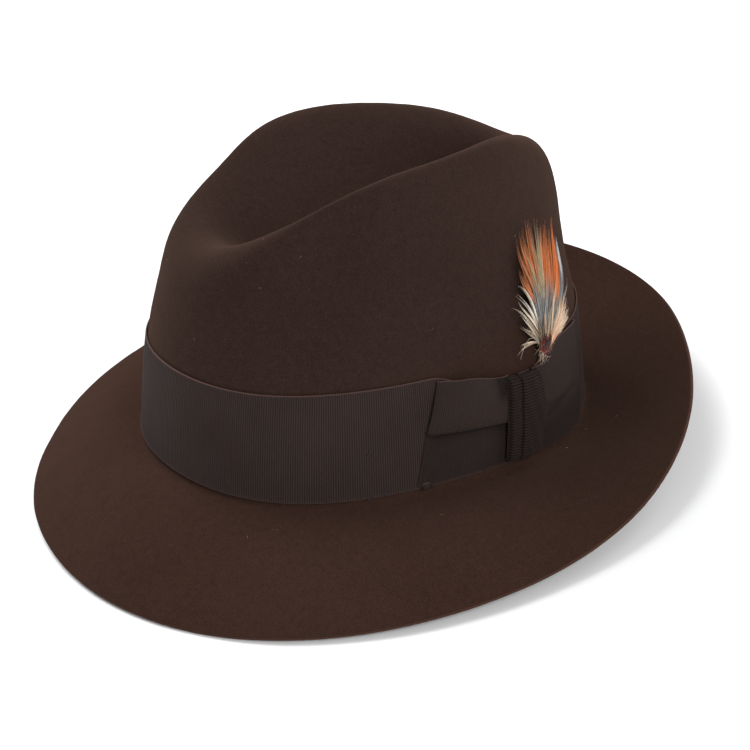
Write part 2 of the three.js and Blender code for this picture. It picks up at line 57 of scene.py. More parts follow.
def rest(P):
    """Hat frame in millimetres to the standing frame in metres."""
    P = np.asarray(P, float)
    c, s = math.cos(TILT), math.sin(TILT)
    x, y, z = P[..., 0], P[..., 1], P[..., 2]
    return np.stack([x, y * c + z * s + SHIFT_Y, -y * s + z * c + LIFT], -1) / 1000


def rest_dir(P):
    P = np.asarray(P, float)
    c, s = math.cos(TILT), math.sin(TILT)
    return np.stack([P[..., 0], P[..., 1] * c + P[..., 2] * s, -P[..., 1] * s + P[..., 2] * c], -1)


def fold_z(ph):
    return 1.73 * np.cos(2 * ph) + 1.61 * np.cos(4 * ph)


def edge_z(ph):
    return (-2.28 + 34.87 * np.sin(ph) - 4.69 * np.cos(2 * ph) + 0.44 * np.sin(3 * ph)
            - 1.1 * np.cos(4 * ph) - 0.93 * np.sin(5 * ph))


def oval_n(ph):
    n = np.stack([np.cos(ph) / A, np.sin(ph) / B], -1)
    return n / np.linalg.norm(n, axis=-1, keepdims=True)


def bump(ph, c, w):
    d = np.angle(np.exp(1j * (ph - c)))
    return np.exp(-((d / w) ** 2))


def basis(t, n=9, k=3):
    kn = np.concatenate([np.zeros(k), np.linspace(0, 1, n - k + 1), np.ones(k)])
    t = np.clip(np.atleast_1d(t), 0, 1 - 1e-9)
    M = np.zeros((len(t), len(kn) - 1))
    for i in range(len(kn) - 1):
        M[:, i] = (t >= kn[i]) & (t < kn[i + 1])
    for d in range(1, k + 1):
        N = np.zeros_like(M)
        for i in range(len(kn) - 1 - d):
            a, b = kn[i + d] - kn[i], kn[i + d + 1] - kn[i + 1]
            if a > 0:
                N[:, i] += (t - kn[i]) / a * M[:, i]
            if b > 0:
                N[:, i] += (kn[i + d + 1] - t) / b * M[:, i + 1]
        M = N
    return M[:, :n]


def crown_cp(ph):
    c, s, c2 = np.cos(ph), np.sin(ph), np.cos(2 * ph)
    n = oval_n(ph)
    X0, Y0, z0 = A * c, B * s, fold_z(ph)
    lean = 0.144 + 0.013 * s + 0.055 * c2
    xr = -0.1 + 53.13 * c * (1 - 0.232 * s - 0.115 * (s * s - 0.5) + 0.025 * s * (1 - s * s) * 2)
    yr = -2.66 + 71.54 * s
    zr = (7.0 * c - 0.23 * np.sin(5 * ph) + 122.88 + 11.39 * s + 12.93 * c2 - 0.27 * np.sin(3 * ph)
          - 1.07 * np.cos(4 * ph))
    yv, zv = 1.77 + 46.89 * s, 88.68 + 7.83 * s + 0.23 * s * s
    pc, pw = math.radians(-35.96), math.radians(18.89)
    pin = 8.96 * (bump(ph, pc, pw) + bump(ph, math.pi - pc, pw))

    def wall(h):
        return np.stack([X0 - n[..., 0] * lean * h, Y0 - n[..., 1] * lean * h, z0 * (1 - h / 160) + h], -1)

    w = wall(78.0)
    q3 = w.copy()
    q3[..., 0] -= n[..., 0] * (pin * 0.6 + 5.42)
    q3[..., 1] -= n[..., 1] * (pin * 0.6 + 5.42)
    o4 = 12.63 + 1.32 * s - 4.81 * c2 - pin
    q4 = np.stack([xr + n[..., 0] * o4, yr + n[..., 1] * o4, zr - (7.47 + 0.71 * s + 0.33 * c2)], -1)
    q5 = np.stack([xr, yr, zr], -1)
    q6 = np.stack([xr * (1 - 0.411), yr + (yv - yr) * 0.411, zr + (zv - zr) * 0.601], -1)
    q7 = np.stack([xr * 0.18, yr + (yv - yr) * 0.82, zv + 0.03 * (zr - zv)], -1)
    q8 = np.stack([0 * c, yv, zv], -1)
    return np.stack([wall(0.0), wall(22.0), wall(50.0), q3, q4, q5, q6, q7, q8], -2)


def crown(ph, t):
    """Points on the felt's outer face for matching arrays of angle and spline value."""
    ph, t = np.broadcast_arrays(np.asarray(ph, float), np.asarray(t, float))
    cp = crown_cp(ph.ravel())
    b = basis(t.ravel())
    return np.einsum("pk,pkd->pd", b, cp).reshape(ph.shape + (3,))


_tt = np.linspace(0, 0.36, 1500)
_hh = basis(_tt) @ np.array([0, 22, 50, 78, 108, 120, 110, 100, 90.0])


def t_of_h(h):
    return np.interp(h, _hh, _tt)


def wall(ph, h, d):
    """Point at angle ph (radians), height h over the fold, offset d out from the felt."""
    ph, h, d = np.broadcast_arrays(*[np.asarray(v, float) for v in (ph, h, d)])
    hc = np.maximum(h, 0)
    P = crown(ph, t_of_h(hc))
    n = oval_n(ph)
    P = P.copy()
    P[..., 0] += n[..., 0] * d
    P[..., 1] += n[..., 1] * d
    P[..., 2] += h - hc
    return P


_ph = np.linspace(-math.pi, 3 * math.pi, 8001)
_s = np.concatenate([[0], np.cumsum(np.hypot(np.diff(A * np.cos(_ph)), np.diff(B * np.sin(_ph))))])
_s -= np.interp(0, _ph, _s)
GIRTH = np.interp(TAU, _ph, _s)


def ph_of_s(s):
    return np.interp(s, _s, _ph)


def s_of_ph(ph):
    return np.interp(ph, _ph, _s)


def brim_reach(ph):
    W = 59.95 + 1.18 * np.cos(2 * ph) - 2.82 * np.sin(ph)
    dz = edge_z(ph) - fold_z(ph)
    return np.sqrt(W * W - 1.15 * dz * dz)


def brim(ph, u):
    n, w = oval_n(ph), brim_reach(ph)
    dz = edge_z(ph) - fold_z(ph)
    z = fold_z(ph) + u * (1 - u) ** 2 * dz * 0.4 + u * u * (3 - 2 * u) * dz + u * u * (u - 1) * dz * 1.5
    q = u * w
    return np.stack([A * np.cos(ph) + n[..., 0] * q, B * np.sin(ph) + n[..., 1] * q, z], -1)


def waves(P, seed, lam, amp, count=14):
    """Soft seeded undulation of a point cloud."""
    r = np.random.default_rng(seed)
    out = np.zeros(P.shape[:-1])
    for _ in range(count):
        k = r.normal(size=3)
        k *= TAU / (lam * r.uniform(0.7, 1.5)) / np.linalg.norm(k)
        out += np.sin(P @ k + r.uniform(0, TAU))
    return out * amp / math.sqrt(count / 2)


# ------------------------------------------------------------------ materials
def new_mat(name, rough, spec=0.3, sheen=0.0, sheen_rough=0.5, sheen_tint=(1, 1, 1), coat=0.0):
    m = bpy.data.materials.new(name)
    m.use_nodes = True
    nt = m.node_tree
    b = nt.nodes["Principled BSDF"]
    b.inputs["Roughness"].default_value = rough
    b.inputs["Specular IOR Level"].default_value = spec
    b.inputs["Sheen Weight"].default_value = sheen
    b.inputs["Sheen Roughness"].default_value = sheen_rough
    b.inputs["Sheen Tint"].default_value = (*sheen_tint, 1)
    b.inputs["Coat Weight"].default_value = coat
    return m, nt, b


def node(nt, kind, **kw):
    n = nt.nodes.new(kind)
    for k, v in kw.items():
        if k in n.inputs.keys() if hasattr(n.inputs, "keys") else False:
            n.inputs[k].default_value = v
        else:
            setattr(n, k, v)
    return n


def noise(nt, scale, detail=3, rough=0.6, coord="Object", stretch=None):
    tc = nt.nodes.new("ShaderNodeTexCoord")
    src = tc.outputs[coord]
    if stretch:
        mp = nt.nodes.new("ShaderNodeMapping")
        mp.inputs["Scale"].default_value = stretch
        nt.links.new(src, mp.inputs["Vector"])
        src = mp.outputs["Vector"]
    n = nt.nodes.new("ShaderNodeTexNoise")
    n.inputs["Scale"].default_value = scale
    n.inputs["Detail"].default_value = detail
    n.inputs["Roughness"].default_value = rough
    nt.links.new(src, n.inputs["Vector"])
    return n.outputs["Fac"]


def ramp(nt, fac, stops):
    r = nt.nodes.new("ShaderNodeValToRGB")
    e = r.color_ramp.elements
    while len(e) > 1:
        e.remove(e[-1])
    e[0].position, e[0].color = stops[0][0], (*stops[0][1], 1)
    for p, c in stops[1:]:
        x = e.new(p)
        x.color = (*c, 1)
    nt.links.new(fac, r.inputs["Fac"])
    return r.outputs["Color"]


def mix(nt, fac, a, b, mode="MIX"):
    m = nt.nodes.new("ShaderNodeMix")
    m.data_type = "RGBA"
    m.blend_type = mode
    m.clamp_factor = True
    for sock, v in ((m.inputs["Factor"], fac), (m.inputs[6], a), (m.inputs[7], b)):
        if hasattr(v, "is_output"):
            nt.links.new(v, sock)
        elif isinstance(v, tuple):
            sock.default_value = (*v, 1)
        else:
            sock.default_value = v
    return m.outputs[2]


def math_n(nt, op, a, b=None, c=None):
    m = nt.nodes.new("ShaderNodeMath")
    m.operation = op
    for i, v in enumerate((a, b, c)):
        if v is None:
            continue
        if hasattr(v, "is_output"):
            nt.links.new(v, m.inputs[i])
        else:
            m.inputs[i].default_value = v
    return m.outputs[0]


def bumps(nt, bsdf, layers):
    """layers: (height socket, distance in metres, strength)"""
    prev = None
    for h, dist, strength in layers:
        bn = nt.nodes.new("ShaderNodeBump")
        bn.inputs["Distance"].default_value = dist
        bn.inputs["Strength"].default_value = strength
        nt.links.new(h, bn.inputs["Height"])
        if prev is not None:
            nt.links.new(prev, bn.inputs["Normal"])
        prev = bn.outputs["Normal"]
    nt.links.new(prev, bsdf.inputs["Normal"])


def uv_xy(nt):
    tc = nt.nodes.new("ShaderNodeTexCoord")
    sp = nt.nodes.new("ShaderNodeSeparateXYZ")
    nt.links.new(tc.outputs["UV"], sp.inputs[0])
    return sp.outputs[0], sp.outputs[1]


def attr(nt, name, out="Fac"):
    a = nt.nodes.new("ShaderNodeAttribute")
    a.attribute_name = name
    return a.outputs[out]


# fur felt: dark warm brown, short brushed nap, soft bloom at grazing angles
def felt_material():
    m, nt, b = new_mat("fur_felt", 0.95, 0.0, 0.07, 0.5, (0.95, 0.62, 0.48))
    big = noise(nt, 14, 4, 0.6)
    mid = noise(nt, 320, 4, 0.7)
    fine = noise(nt, 1900, 3, 0.75)
    low = ramp(nt, big, [(0.25, (0.0315, 0.0160, 0.0118)), (0.55, (0.0355, 0.0184, 0.0138)), (0.8, (0.0400, 0.0212, 0.0162))])
    high = ramp(nt, big, [(0.25, (0.0285, 0.0165, 0.0133)), (0.55, (0.0318, 0.0187, 0.0152)), (0.8, (0.0355, 0.0213, 0.0176))])
    tc = nt.nodes.new("ShaderNodeTexCoord")
    sp = nt.nodes.new("ShaderNodeSeparateXYZ")
    nt.links.new(tc.outputs["Object"], sp.inputs[0])
    mr = nt.nodes.new("ShaderNodeMapRange")
    mr.inputs["From Min"].default_value = 0.05
    mr.inputs["From Max"].default_value = 0.075
    nt.links.new(sp.outputs[2], mr.inputs["Value"])
    base = mix(nt, mr.outputs[0], low, high)
    speck = ramp(nt, fine, [(0.3, (0.55, 0.52, 0.5)), (0.55, (1.0, 1.0, 1.0)), (0.8, (1.75, 1.72, 1.7))])
    c = mix(nt, 0.75, base, speck, "MULTIPLY")
    patch = ramp(nt, mid, [(0.3, (0.86, 0.86, 0.86)), (0.7, (1.14, 1.12, 1.1))])
    c = mix(nt, 0.7, c, patch, "MULTIPLY")
    rim = attr(nt, "raw")
    c = mix(nt, math_n(nt, "MULTIPLY", rim, 0.45), c, (0.075, 0.038, 0.028))
    nt.links.new(c, b.inputs["Base Color"])
    nap = noise(nt, 900, 5, 0.8)
    lay = noise(nt, 2600, 2, 0.6, stretch=(1, 1, 0.45))
    soft = noise(nt, 95, 3, 0.5)
    bumps(nt, b, [(soft, 0.0006, 0.25), (nap, 0.00016, 0.55), (lay, 0.00008, 0.5)])
    return m


def ribbon_material(name, tone=1.0, edge_col=(0.115, 0.062, 0.052), pitch=1.0, painted_rib_light_mix=0.85):
    """Grosgrain. UV in millimetres: u along the ribbon, v across it; attribute selv is 1 on the selvage."""
    m, nt, b = new_mat(name, 0.66, 0.07, 0.05, 0.4, (0.9, 0.72, 0.66))
    u, v = uv_xy(nt)
    ribs = math_n(nt, "ABSOLUTE", math_n(nt, "SINE", math_n(nt, "MULTIPLY", u, math.pi / pitch)))
    weft = math_n(nt, "SINE", math_n(nt, "MULTIPLY", v, TAU / 0.42))
    big = noise(nt, 26, 3, 0.6)
    fine = noise(nt, 1500, 2, 0.6)
    k = tone
    base = ramp(nt, big, [(0.3, (0.0262 * k, 0.0172 * k, 0.0150 * k)), (0.7, (0.0328 * k, 0.0218 * k, 0.0192 * k))])
    # painted light on the grosgrain: the rib valleys are darkened as painted shade and the rib crests lightened as
    # painted highlight
    shade = ramp(nt, ribs, [(0.0, (0.3, 0.28, 0.28)), (0.4, (0.85, 0.85, 0.85)), (1.0, (1.28, 1.26, 1.26))])
    c = mix(nt, painted_rib_light_mix, base, shade, "MULTIPLY")
    c = mix(nt, 0.35, c, ramp(nt, fine, [(0.3, (0.7, 0.7, 0.7)), (0.7, (1.3, 1.3, 1.3))]), "MULTIPLY")
    # painted shade: a per-vertex attribute darkens the colour towards near-black in creases, under pleats and beside
    # the knot
    c = mix(nt, attr(nt, "painted_recess_shade"), c, (0.004, 0.0028, 0.0024))
    c = mix(nt, math_n(nt, "MULTIPLY", attr(nt, "selv"), 0.8), c, edge_col)
    nt.links.new(c, b.inputs["Base Color"])
    bumps(nt, b, [(ribs, 0.00022, 0.6), (weft, 0.00005, 0.35), (fine, 0.00004, 0.5)])
    return m


def leather_material():
    m, nt, b = new_mat("sweatband_leather", 0.46, 0.4, 0.05, 0.4, (1, 0.9, 0.8), 0.08)
    big = noise(nt, 22, 4, 0.6)
    c = ramp(nt, big, [(0.3, (0.075, 0.032, 0.016)), (0.6, (0.105, 0.048, 0.024)), (0.85, (0.135, 0.064, 0.034))])
    tc = nt.nodes.new("ShaderNodeTexCoord")
    vo = nt.nodes.new("ShaderNodeTexVoronoi")
    vo.feature = "DISTANCE_TO_EDGE"
    vo.inputs["Scale"].default_value = 950
    nt.links.new(tc.outputs["Object"], vo.inputs["Vector"])
    grain = ramp(nt, vo.outputs["Distance"], [(0.0, (0, 0, 0)), (0.12, (1, 1, 1))])
    c = mix(nt, 0.35, c, ramp(nt, vo.outputs["Distance"], [(0.0, (0.55, 0.5, 0.5)), (0.1, (1, 1, 1))]), "MULTIPLY")
    nt.links.new(c, b.inputs["Base Color"])
    fine = noise(nt, 2200, 3, 0.6)
    r = ramp(nt, big, [(0.3, (0.4, 0.4, 0.4)), (0.8, (0.58, 0.58, 0.58))])
    nt.links.new(r, b.inputs["Roughness"])
    bumps(nt, b, [(grain, 0.00009, 0.5), (fine, 0.00005, 0.5)])
    return m


def satin_material():
    m, nt, b = new_mat("lining_satin", 0.33, 0.5, 0.3, 0.3, (1, 0.95, 0.85))
    u, v = uv_xy(nt)
    big = noise(nt, 18, 3, 0.5)
    c = ramp(nt, big, [(0.3, (0.21, 0.155, 0.085)), (0.7, (0.29, 0.225, 0.13))])
    yarn = math_n(nt, "SINE", math_n(nt, "MULTIPLY", v, TAU / 0.35))
    slub = noise(nt, 700, 3, 0.7, stretch=(1, 1, 0.15))
    c = mix(nt, 0.4, c, ramp(nt, slub, [(0.3, (0.75, 0.75, 0.75)), (0.7, (1.2, 1.2, 1.2))]), "MULTIPLY")
    nt.links.new(c, b.inputs["Base Color"])
    b.inputs["Anisotropic"].default_value = 0.5
    bumps(nt, b, [(slub, 0.00008, 0.4), (yarn, 0.00003, 0.4)])
    return m


def thread_material(name, col, rough=0.7):
    m, nt, b = new_mat(name, rough, 0.3, 0.2, 0.4)
    f = noise(nt, 3000, 2, 0.6)
    d = tuple(x * 0.6 for x in col)
    c = ramp(nt, f, [(0.3, d), (0.7, col)])
    nt.links.new(c, b.inputs["Base Color"])
    bumps(nt, b, [(f, 0.00008, 0.7)])
    return m


def plastic_material(name, col):
    m, nt, b = new_mat(name, 0.38, 0.5)
    f = noise(nt, 600, 2, 0.5)
    c = ramp(nt, f, [(0.3, tuple(x * 0.85 for x in col)), (0.7, col)])
    nt.links.new(c, b.inputs["Base Color"])
    bumps(nt, b, [(f, 0.00003, 0.3)])
    return m


def feather_material(name, rough=0.6):
    """Colour comes from the barbs' own colour attribute, broken up along each barb."""
    m, nt, b = new_mat(name, rough, 0.35, 0.2, 0.4, (1, 0.9, 0.8))
    col = attr(nt, "barb", "Color")
    f = noise(nt, 1600, 3, 0.7, stretch=(1, 1, 0.3))
    c = mix(nt, 0.6, col, ramp(nt, f, [(0.3, (0.62, 0.6, 0.58)), (0.5, (1, 1, 1)), (0.75, (1.3, 1.28, 1.25))]), "MULTIPLY")
    nt.links.new(c, b.inputs["Base Color"])
    b.inputs["Subsurface Weight"].default_value = 0.0
    bumps(nt, b, [(f, 0.00006, 0.5)])
    return m


M_FELT = felt_material()
M_BAND = ribbon_material("grosgrain_band", 1.0)
M_BOW = ribbon_material("grosgrain_bow", 0.9, pitch=1.0, painted_rib_light_mix=0.45)
# the knot: the same grosgrain at half tone, its darker colour painted shade, with a finer rib pitch
M_KNOT_PAINTED_SHADE = ribbon_material("grosgrain_knot_painted_shade", 0.5, pitch=1.27, painted_rib_light_mix=1.0)
# the lower wing: a darker copy of the bow ribbon, painted shade under the upper flap's bulge
M_BOW_LOWER_PAINTED_SHADE = ribbon_material("grosgrain_bow_lower_painted_shade", 0.66, pitch=1.0, painted_rib_light_mix=0.45)
M_TAPE = ribbon_material("reed_tape_cloth", 1.3)
M_LEATHER = leather_material()
M_SATIN = satin_material()
M_THREAD = thread_material("dark_thread", (0.02, 0.014, 0.012))
M_STITCH = thread_material("sweatband_stitching_thread", (0.16, 0.1, 0.06))
M_REED = plastic_material("reed_plastic", (0.62, 0.56, 0.46))
M_FEATHER = feather_material("feather_barbs")
M_QUILL = plastic_material("quill_horn", (0.5, 0.38, 0.2))
M_TAG = thread_material("tag_cloth", (0.62, 0.58, 0.5), 0.8)
M_PIPE = thread_material("lining_piping_cord", (0.22, 0.165, 0.09), 0.6)
M_LINT = thread_material("lint", (0.42, 0.34, 0.28), 0.8)


# ------------------------------------------------------------------ mesh helpers
def make(name, verts, faces, mat, body="hat", uv=None, attrs=None, cols=None, replaces=(), smooth=True):
    me = bpy.data.meshes.new(name)
    V = rest(np.asarray(verts, float).reshape(-1, 3))
    # faces outward: the signed volume of a closed mesh is positive
    T = np.array([(f[0], f[k], f[k + 1]) for f in faces for k in range(1, len(f) - 1)])
    if np.einsum("ij,ij->i", V[T[:, 0]], np.cross(V[T[:, 1]], V[T[:, 2]])).sum() < 0:
        faces = [list(f)[::-1] for f in faces]
    me.from_pydata(V.tolist(), [], [list(map(int, f)) for f in faces])
    me.validate(verbose=False)
    me.update()
    if uv is not None:
        lay = me.uv_layers.new(name="UVMap")
        li = np.zeros(len(me.loops), np.int32)
        me.loops.foreach_get("vertex_index", li)
        lay.data.foreach_set("uv", np.asarray(uv, np.float32).reshape(-1, 2)[li].ravel())
    for k, v in (attrs or {}).items():
        a = me.attributes.new(k, "FLOAT", "POINT")
        a.data.foreach_set("value", np.asarray(v, np.float32).ravel())
    if cols is not None:
        a = me.attributes.new("barb", "FLOAT_COLOR", "POINT")
        c4 = np.concatenate([np.asarray(cols, np.float32).reshape(-1, 3), np.ones((len(V), 1), np.float32)], 1)
        a.data.foreach_set("color", c4.ravel())
    if smooth:
        me.polygons.foreach_set("use_smooth", [True] * len(me.polygons))
    me.materials.append(mat)
    o = bpy.data.objects.new(name, me)
    bpy.context.scene.collection.objects.link(o)
    if body:
        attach(o, body)
    if replaces:
        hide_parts(*replaces)
    return o


def grid_faces(nr, nc, wrap_c=False, wrap_r=False, base=0, flip=False):
    f = []
    for r in range(nr if wrap_r else nr - 1):
        r2 = (r + 1) % nr
        for c in range(nc if wrap_c else nc - 1):
            c2 = (c + 1) % nc
            q = [base + r * nc + c, base + r * nc + c2, base + r2 * nc + c2, base + r2 * nc + c]
            f.append(q[::-1] if flip else q)
    return f


def vertex_normals(V, F):
    V = np.asarray(V)
    n = np.zeros_like(V)
    F = np.asarray(F)
    d = np.cross(V[F[:, 2]] - V[F[:, 0]], V[F[:, 3]] - V[F[:, 1]])
    for k in range(4):
        np.add.at(n, F[:, k], d)
    return n / np.maximum(np.linalg.norm(n, axis=1, keepdims=True), 1e-12)


# ------------------------------------------------------------------ felt: one continuous shell
NP = 300 if HI else 180


def felt_outer(ph):
    """Rows of the outer face from just inside the raw edge to the dent's line."""
    w = brim_reach(ph)
    rows = []
    for u in np.linspace(0, 1, 34):
        uu = (1 - 0.4 / w) * (1 - u) + (FILLET / w) * u
        rows.append(brim(ph, uu))
    Aa, K, C = brim(ph, FILLET / w), brim(ph, 0 * w), crown(ph, np.full_like(ph, t_of_h(4.0)))
    for v in np.linspace(0, 1, 9)[1:-1]:
        rows.append((1 - v) ** 2 * Aa + 2 * v * (1 - v) * K + v * v * C)
    t0 = float(t_of_h(4.0))
    for t in np.concatenate([np.linspace(t0, 0.44, 34)[:-1], np.linspace(0.44, 0.86, 62)[:-1], np.linspace(0.86, 1, 14)]):
        rows.append(crown(ph, np.full_like(ph, t)))
    return np.array(rows)


def build_felt():
    ph = -math.pi / 2 + TAU * np.arange(NP) / NP
    G = felt_outer(ph)
    nr = len(G)
    # index map: the last row folds on itself
    idx = np.arange(nr * NP).reshape(nr, NP)
    mirror = (NP - np.arange(NP)) % NP
    idx[-1] = (nr - 1) * NP + np.minimum(np.arange(NP), mirror)
    F = []
    for r in range(nr - 1):
        for c in range(NP):
            c2 = (c + 1) % NP
            F.append([idx[r, c], idx[r, c2], idx[r + 1, c2], idx[r + 1, c]])
    F = np.array(F)
    V = G.reshape(-1, 3)
    N = vertex_normals(V, F)
    # hand-blocked unevenness, kept off the wall under the ribbon
    hgt = V[:, 2]
    r_out = np.hypot(V[:, 0] / A, V[:, 1] / B)
    free = np.clip((hgt - 52) / 14, 0, 1) + np.clip((r_out - 1.12) / 0.15, 0, 1)
    V = V + N * ((waves(V, 3, 60, 0.22) + waves(V, 4, 20, 0.05) + waves(V, 6, 8, 0.02)) * np.clip(free, 0, 1))[:, None]
    N = vertex_normals(V, F)
    Vi = V - N * FELT
    n = len(V)
    verts = [V, Vi]
    faces = [F, F[:, ::-1] + n]
    # raw cut edge: small rounded corners and a flat between
    T = G[0] - G[1]
    E0, N0 = V[:NP], N[:NP]
    T = T - N0 * np.sum(T * N0, 1)[:, None]
    T /= np.linalg.norm(T, axis=1)[:, None]
    prof = [(0.25, -0.08), (0.37, -0.3), (0.40, -0.62), (0.40, -FELT / 2), (0.40, -FELT + 0.62), (0.37, -FELT + 0.3), (0.25, -FELT + 0.08)]
    E = [E0 + T * a + N0 * b for a, b in prof]
    base = 2 * n
    ring = [np.arange(NP)] + [base + k * NP + np.arange(NP) for k in range(len(E))] + [n + np.arange(NP)]
    for k in range(len(ring) - 1):
        a, b = ring[k], ring[k + 1]
        for c in range(NP):
            c2 = (c + 1) % NP
            faces.append(np.array([[a[c2], a[c], b[c], b[c2]]]))
    verts.append(np.concatenate(E))
    V = np.concatenate(verts)
    Fa = np.concatenate(faces)
    raw = np.zeros(len(V))
    raw[base:] = 1
    # drop unused doubles of the folded row
    used = np.unique(Fa)
    remap = -np.ones(len(V), int)
    remap[used] = np.arange(len(used))
    V, raw, Fa = V[used], raw[used], remap[Fa]
    out = []
    for q in Fa:
        q = list(dict.fromkeys(q.tolist()))
        if len(q) > 2:
            out.append(q)
    o = make("felt_hat_body", V, out, M_FELT, body=None, attrs={"raw": raw})
    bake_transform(o)
    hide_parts("felt_body", "brim_front")
    return o


build_felt()


# ------------------------------------------------------------------ ribbon patches
def patch(name, P, U, Vv, thick, mat, rib="u", pitch=1.0, rib_amp=0.10, slot="ribbon", replaces=(), body="hat",
          selv=(True, True), selv_u=(False, False), painted_recess_shade=None):
    """A strip of ribbon. P(u, v) gives (angle, height, offset); U, Vv are sample arrays in millimetres along and across.
    rib 'u': ribs stand across u. The mesh is a thin closed strip."""
    UU, VV = np.meshgrid(U, Vv, indexing="xy")  # rows v, cols u
    ph, h, d = P(UU, VV)
    G = wall(ph, h, d)
    nr, nc = UU.shape
    F = np.array(grid_faces(nr, nc))
    V = G.reshape(-1, 3)
    N = vertex_normals(V, F)
    out = oval_n(ph.ravel())
    sgn = np.sign(np.median(N[:, 0] * out[:, 0] + N[:, 1] * out[:, 1]))
    N = N * sgn
    if sgn < 0:
        F = F[:, ::-1]
    along = UU if rib == "u" else VV
    w0, w1 = Vv[0], Vv[-1]
    ed = np.minimum(VV - w0, w1 - VV) if True else 0
    l0, l1 = U[0], U[-1]
    edge_d = np.full(UU.shape, 9.0)
    if selv[0]:
        edge_d = np.minimum(edge_d, VV - w0)
    if selv[1]:
        edge_d = np.minimum(edge_d, w1 - VV)
    if selv_u[0]:
        edge_d = np.minimum(edge_d, UU - l0)
    if selv_u[1]:
        edge_d = np.minimum(edge_d, l1 - UU)
    fade = np.clip((edge_d - 0.5) / 0.5, 0, 1)
    ribh = rib_amp * (np.abs(np.sin(math.pi * along / pitch)) ** 0.7 - 0.6) * fade
    bead = 0.12 * np.exp(-(((edge_d - 0.35) / 0.28) ** 2))
    V = V + N * (ribh + bead).reshape(-1, 1)
    Vi = V - N * (thick + ribh * 1.0 + bead).reshape(-1, 1)
    n = len(V)
    faces = F.tolist() + (F[:, ::-1] + n).tolist()
    loop = [r * nc for r in range(nr)] + [(nr - 1) * nc + c for c in range(1, nc)] + [r * nc + nc - 1 for r in range(nr - 2, -1, -1)] + [c for c in range(nc - 2, 0, -1)]
    for i in range(len(loop)):
        a, b = loop[i], loop[(i + 1) % len(loop)]
        q = [a, b, b + n, a + n]
        faces.append(q if sgn > 0 else q[::-1])
    uvs = np.stack([along.ravel(), (VV if rib == "u" else UU).ravel()], 1)
    top_d = np.where(np.ones_like(VV) > 0, w1 - VV, 0) if selv[1] else np.full(UU.shape, 9.0)
    sv = np.clip(1 - top_d / 0.5, 0, 1)
    sv = np.maximum(sv, 0.35 * np.clip(1 - edge_d / 0.45, 0, 1)).ravel()
    # the optional mask is painted shade, stored as a vertex attribute that darkens the ribbon's colour
    return make(name, np.concatenate([V, Vi]), faces, mat, body, uv=np.concatenate([uvs, uvs]),
                attrs={"selv": np.concatenate([sv, sv]),
                       "painted_recess_shade": np.tile((painted_recess_shade(UU, VV) if painted_recess_shade is not None else 0 * UU).ravel(), 2)},
                replaces=replaces)


def sm(x, a, b):
    t = np.clip((x - a) / (b - a), 0, 1)
    return t * t * (3 - 2 * t)


# hatband
RIB = 5 if HI else 4
s0 = float(s_of_ph(math.radians(5.0)))
U = np.arange(0, GIRTH - 0.12, 1.0 / RIB)
Vb = np.concatenate([[0, 0.2, 0.45, 0.75, 1.2], np.linspace(3, 43, 9), [44.8, 45.25, 45.55, 45.8, 45.97]])


def P_band(u, v):
    ph = ph_of_s(s0 + 0.4 + u)
    low = np.clip(1 - v / 2.6, 0, 1)
    ease = 0.12 * np.sin(v / 46 * math.pi)
    ripple = 0.10 * np.sin(u / 37.0 + 1.0) * np.sin(v / 46 * math.pi)
    s = np.mod(s0 + 0.4 + u + GIRTH / 2, GIRTH) - GIRTH / 2
    top = 45.97 - 8.6 * sm(s, -13, 16) * (1 - sm(s, 46, 62))
    return ph, 2.93 + v * top / 45.97, 0.95 + 0.32 * low ** 2 + ease + ripple


patch("hatband_ribbon", P_band, U, Vb, 0.55, M_BAND, replaces=("hatband",), slot="ribbon")


# front wing of the bow: left edge slants, top dips to the knot
def left_s(h):
    return -21.7 + (h - 4) * 0.235 + np.maximum(h - 26, 0) * 0.085


def top_h(s):
    return 47.6 - 1.0 * sm(s, -9, 3) - 4.2 * sm(s, 2, 26)


def fold_h(s):
    x = np.clip((s + 16) / 41, 0, 1)
    return 26.1 - 4.0 * x + 1.5 * np.sin(x * math.pi)


def P_upper(u, v):
    # u: 0 at the left edge .. 46 inside the knot; v: 0 at the hidden return of the pleat .. 29 at the top edge
    f = v / 29.0
    s_right = 27.5
    fu = u / 46.0
    hl = fold_h(-12 + fu * 38)
    ht = top_h(-10 + fu * 36)
    k = np.clip((v - 4.0) / 25.0, 0, 1)
    h = hl + (ht - hl) * k
    roll = np.clip(1 - v / 4.0, 0, 1)
    h = h - 0.6 * (1 - roll) * sm(roll, 0, 0.6) + 3.2 * roll ** 1.7
    sl = left_s(h)
    s = sl + (s_right - sl) * fu
    belly = np.sin(math.pi * np.clip(fu * 0.93 + 0.07, 0, 1)) ** 0.8
    d = 1.95 + (4.4 * belly) * (0.12 + 0.88 * np.sin(math.pi * np.clip((1 - k) ** 0.8 * 0.72 + 0.04, 0, 1))) + 0.5 * sm(fu, 0.03, 0.4)
    d = d - roll ** 1.3 * (0.9 + 2.4 * belly)
    d = d - 0.75 * (1 - sm(u, 0.0, 1.1))
    d = d + 0.25 * np.sin(s / 9.0 + h / 7.0) * belly
    d = np.maximum(d, 1.45)
    return ph_of_s(s), h, d


Uw = np.concatenate([np.linspace(0, 1.4, 6)[:-1], np.arange(1.4, 46.01, 1.0 / RIB)])
# painted shade on the upper flap: darker towards the knot and along the pleat's fold
patch("bow_wing_upper_fold", P_upper, Uw, np.concatenate([np.linspace(0, 4, 9)[:-1], np.linspace(4, 28, 22)[:-1], [28, 28.4, 28.7, 29]]),
      0.5, M_BOW, replaces=("bow_wing_upper",), selv=(False, True), selv_u=(True, False), rib_amp=0.05,
      painted_recess_shade=lambda u, v: np.clip(0.75 * np.exp(-(np.maximum(37.5 - u, 0) / 2.6)) * sm(v, 12, 22) + 0.55 * np.exp(-np.maximum(v - 3.0, 0) / 1.6), 0, 0.85))


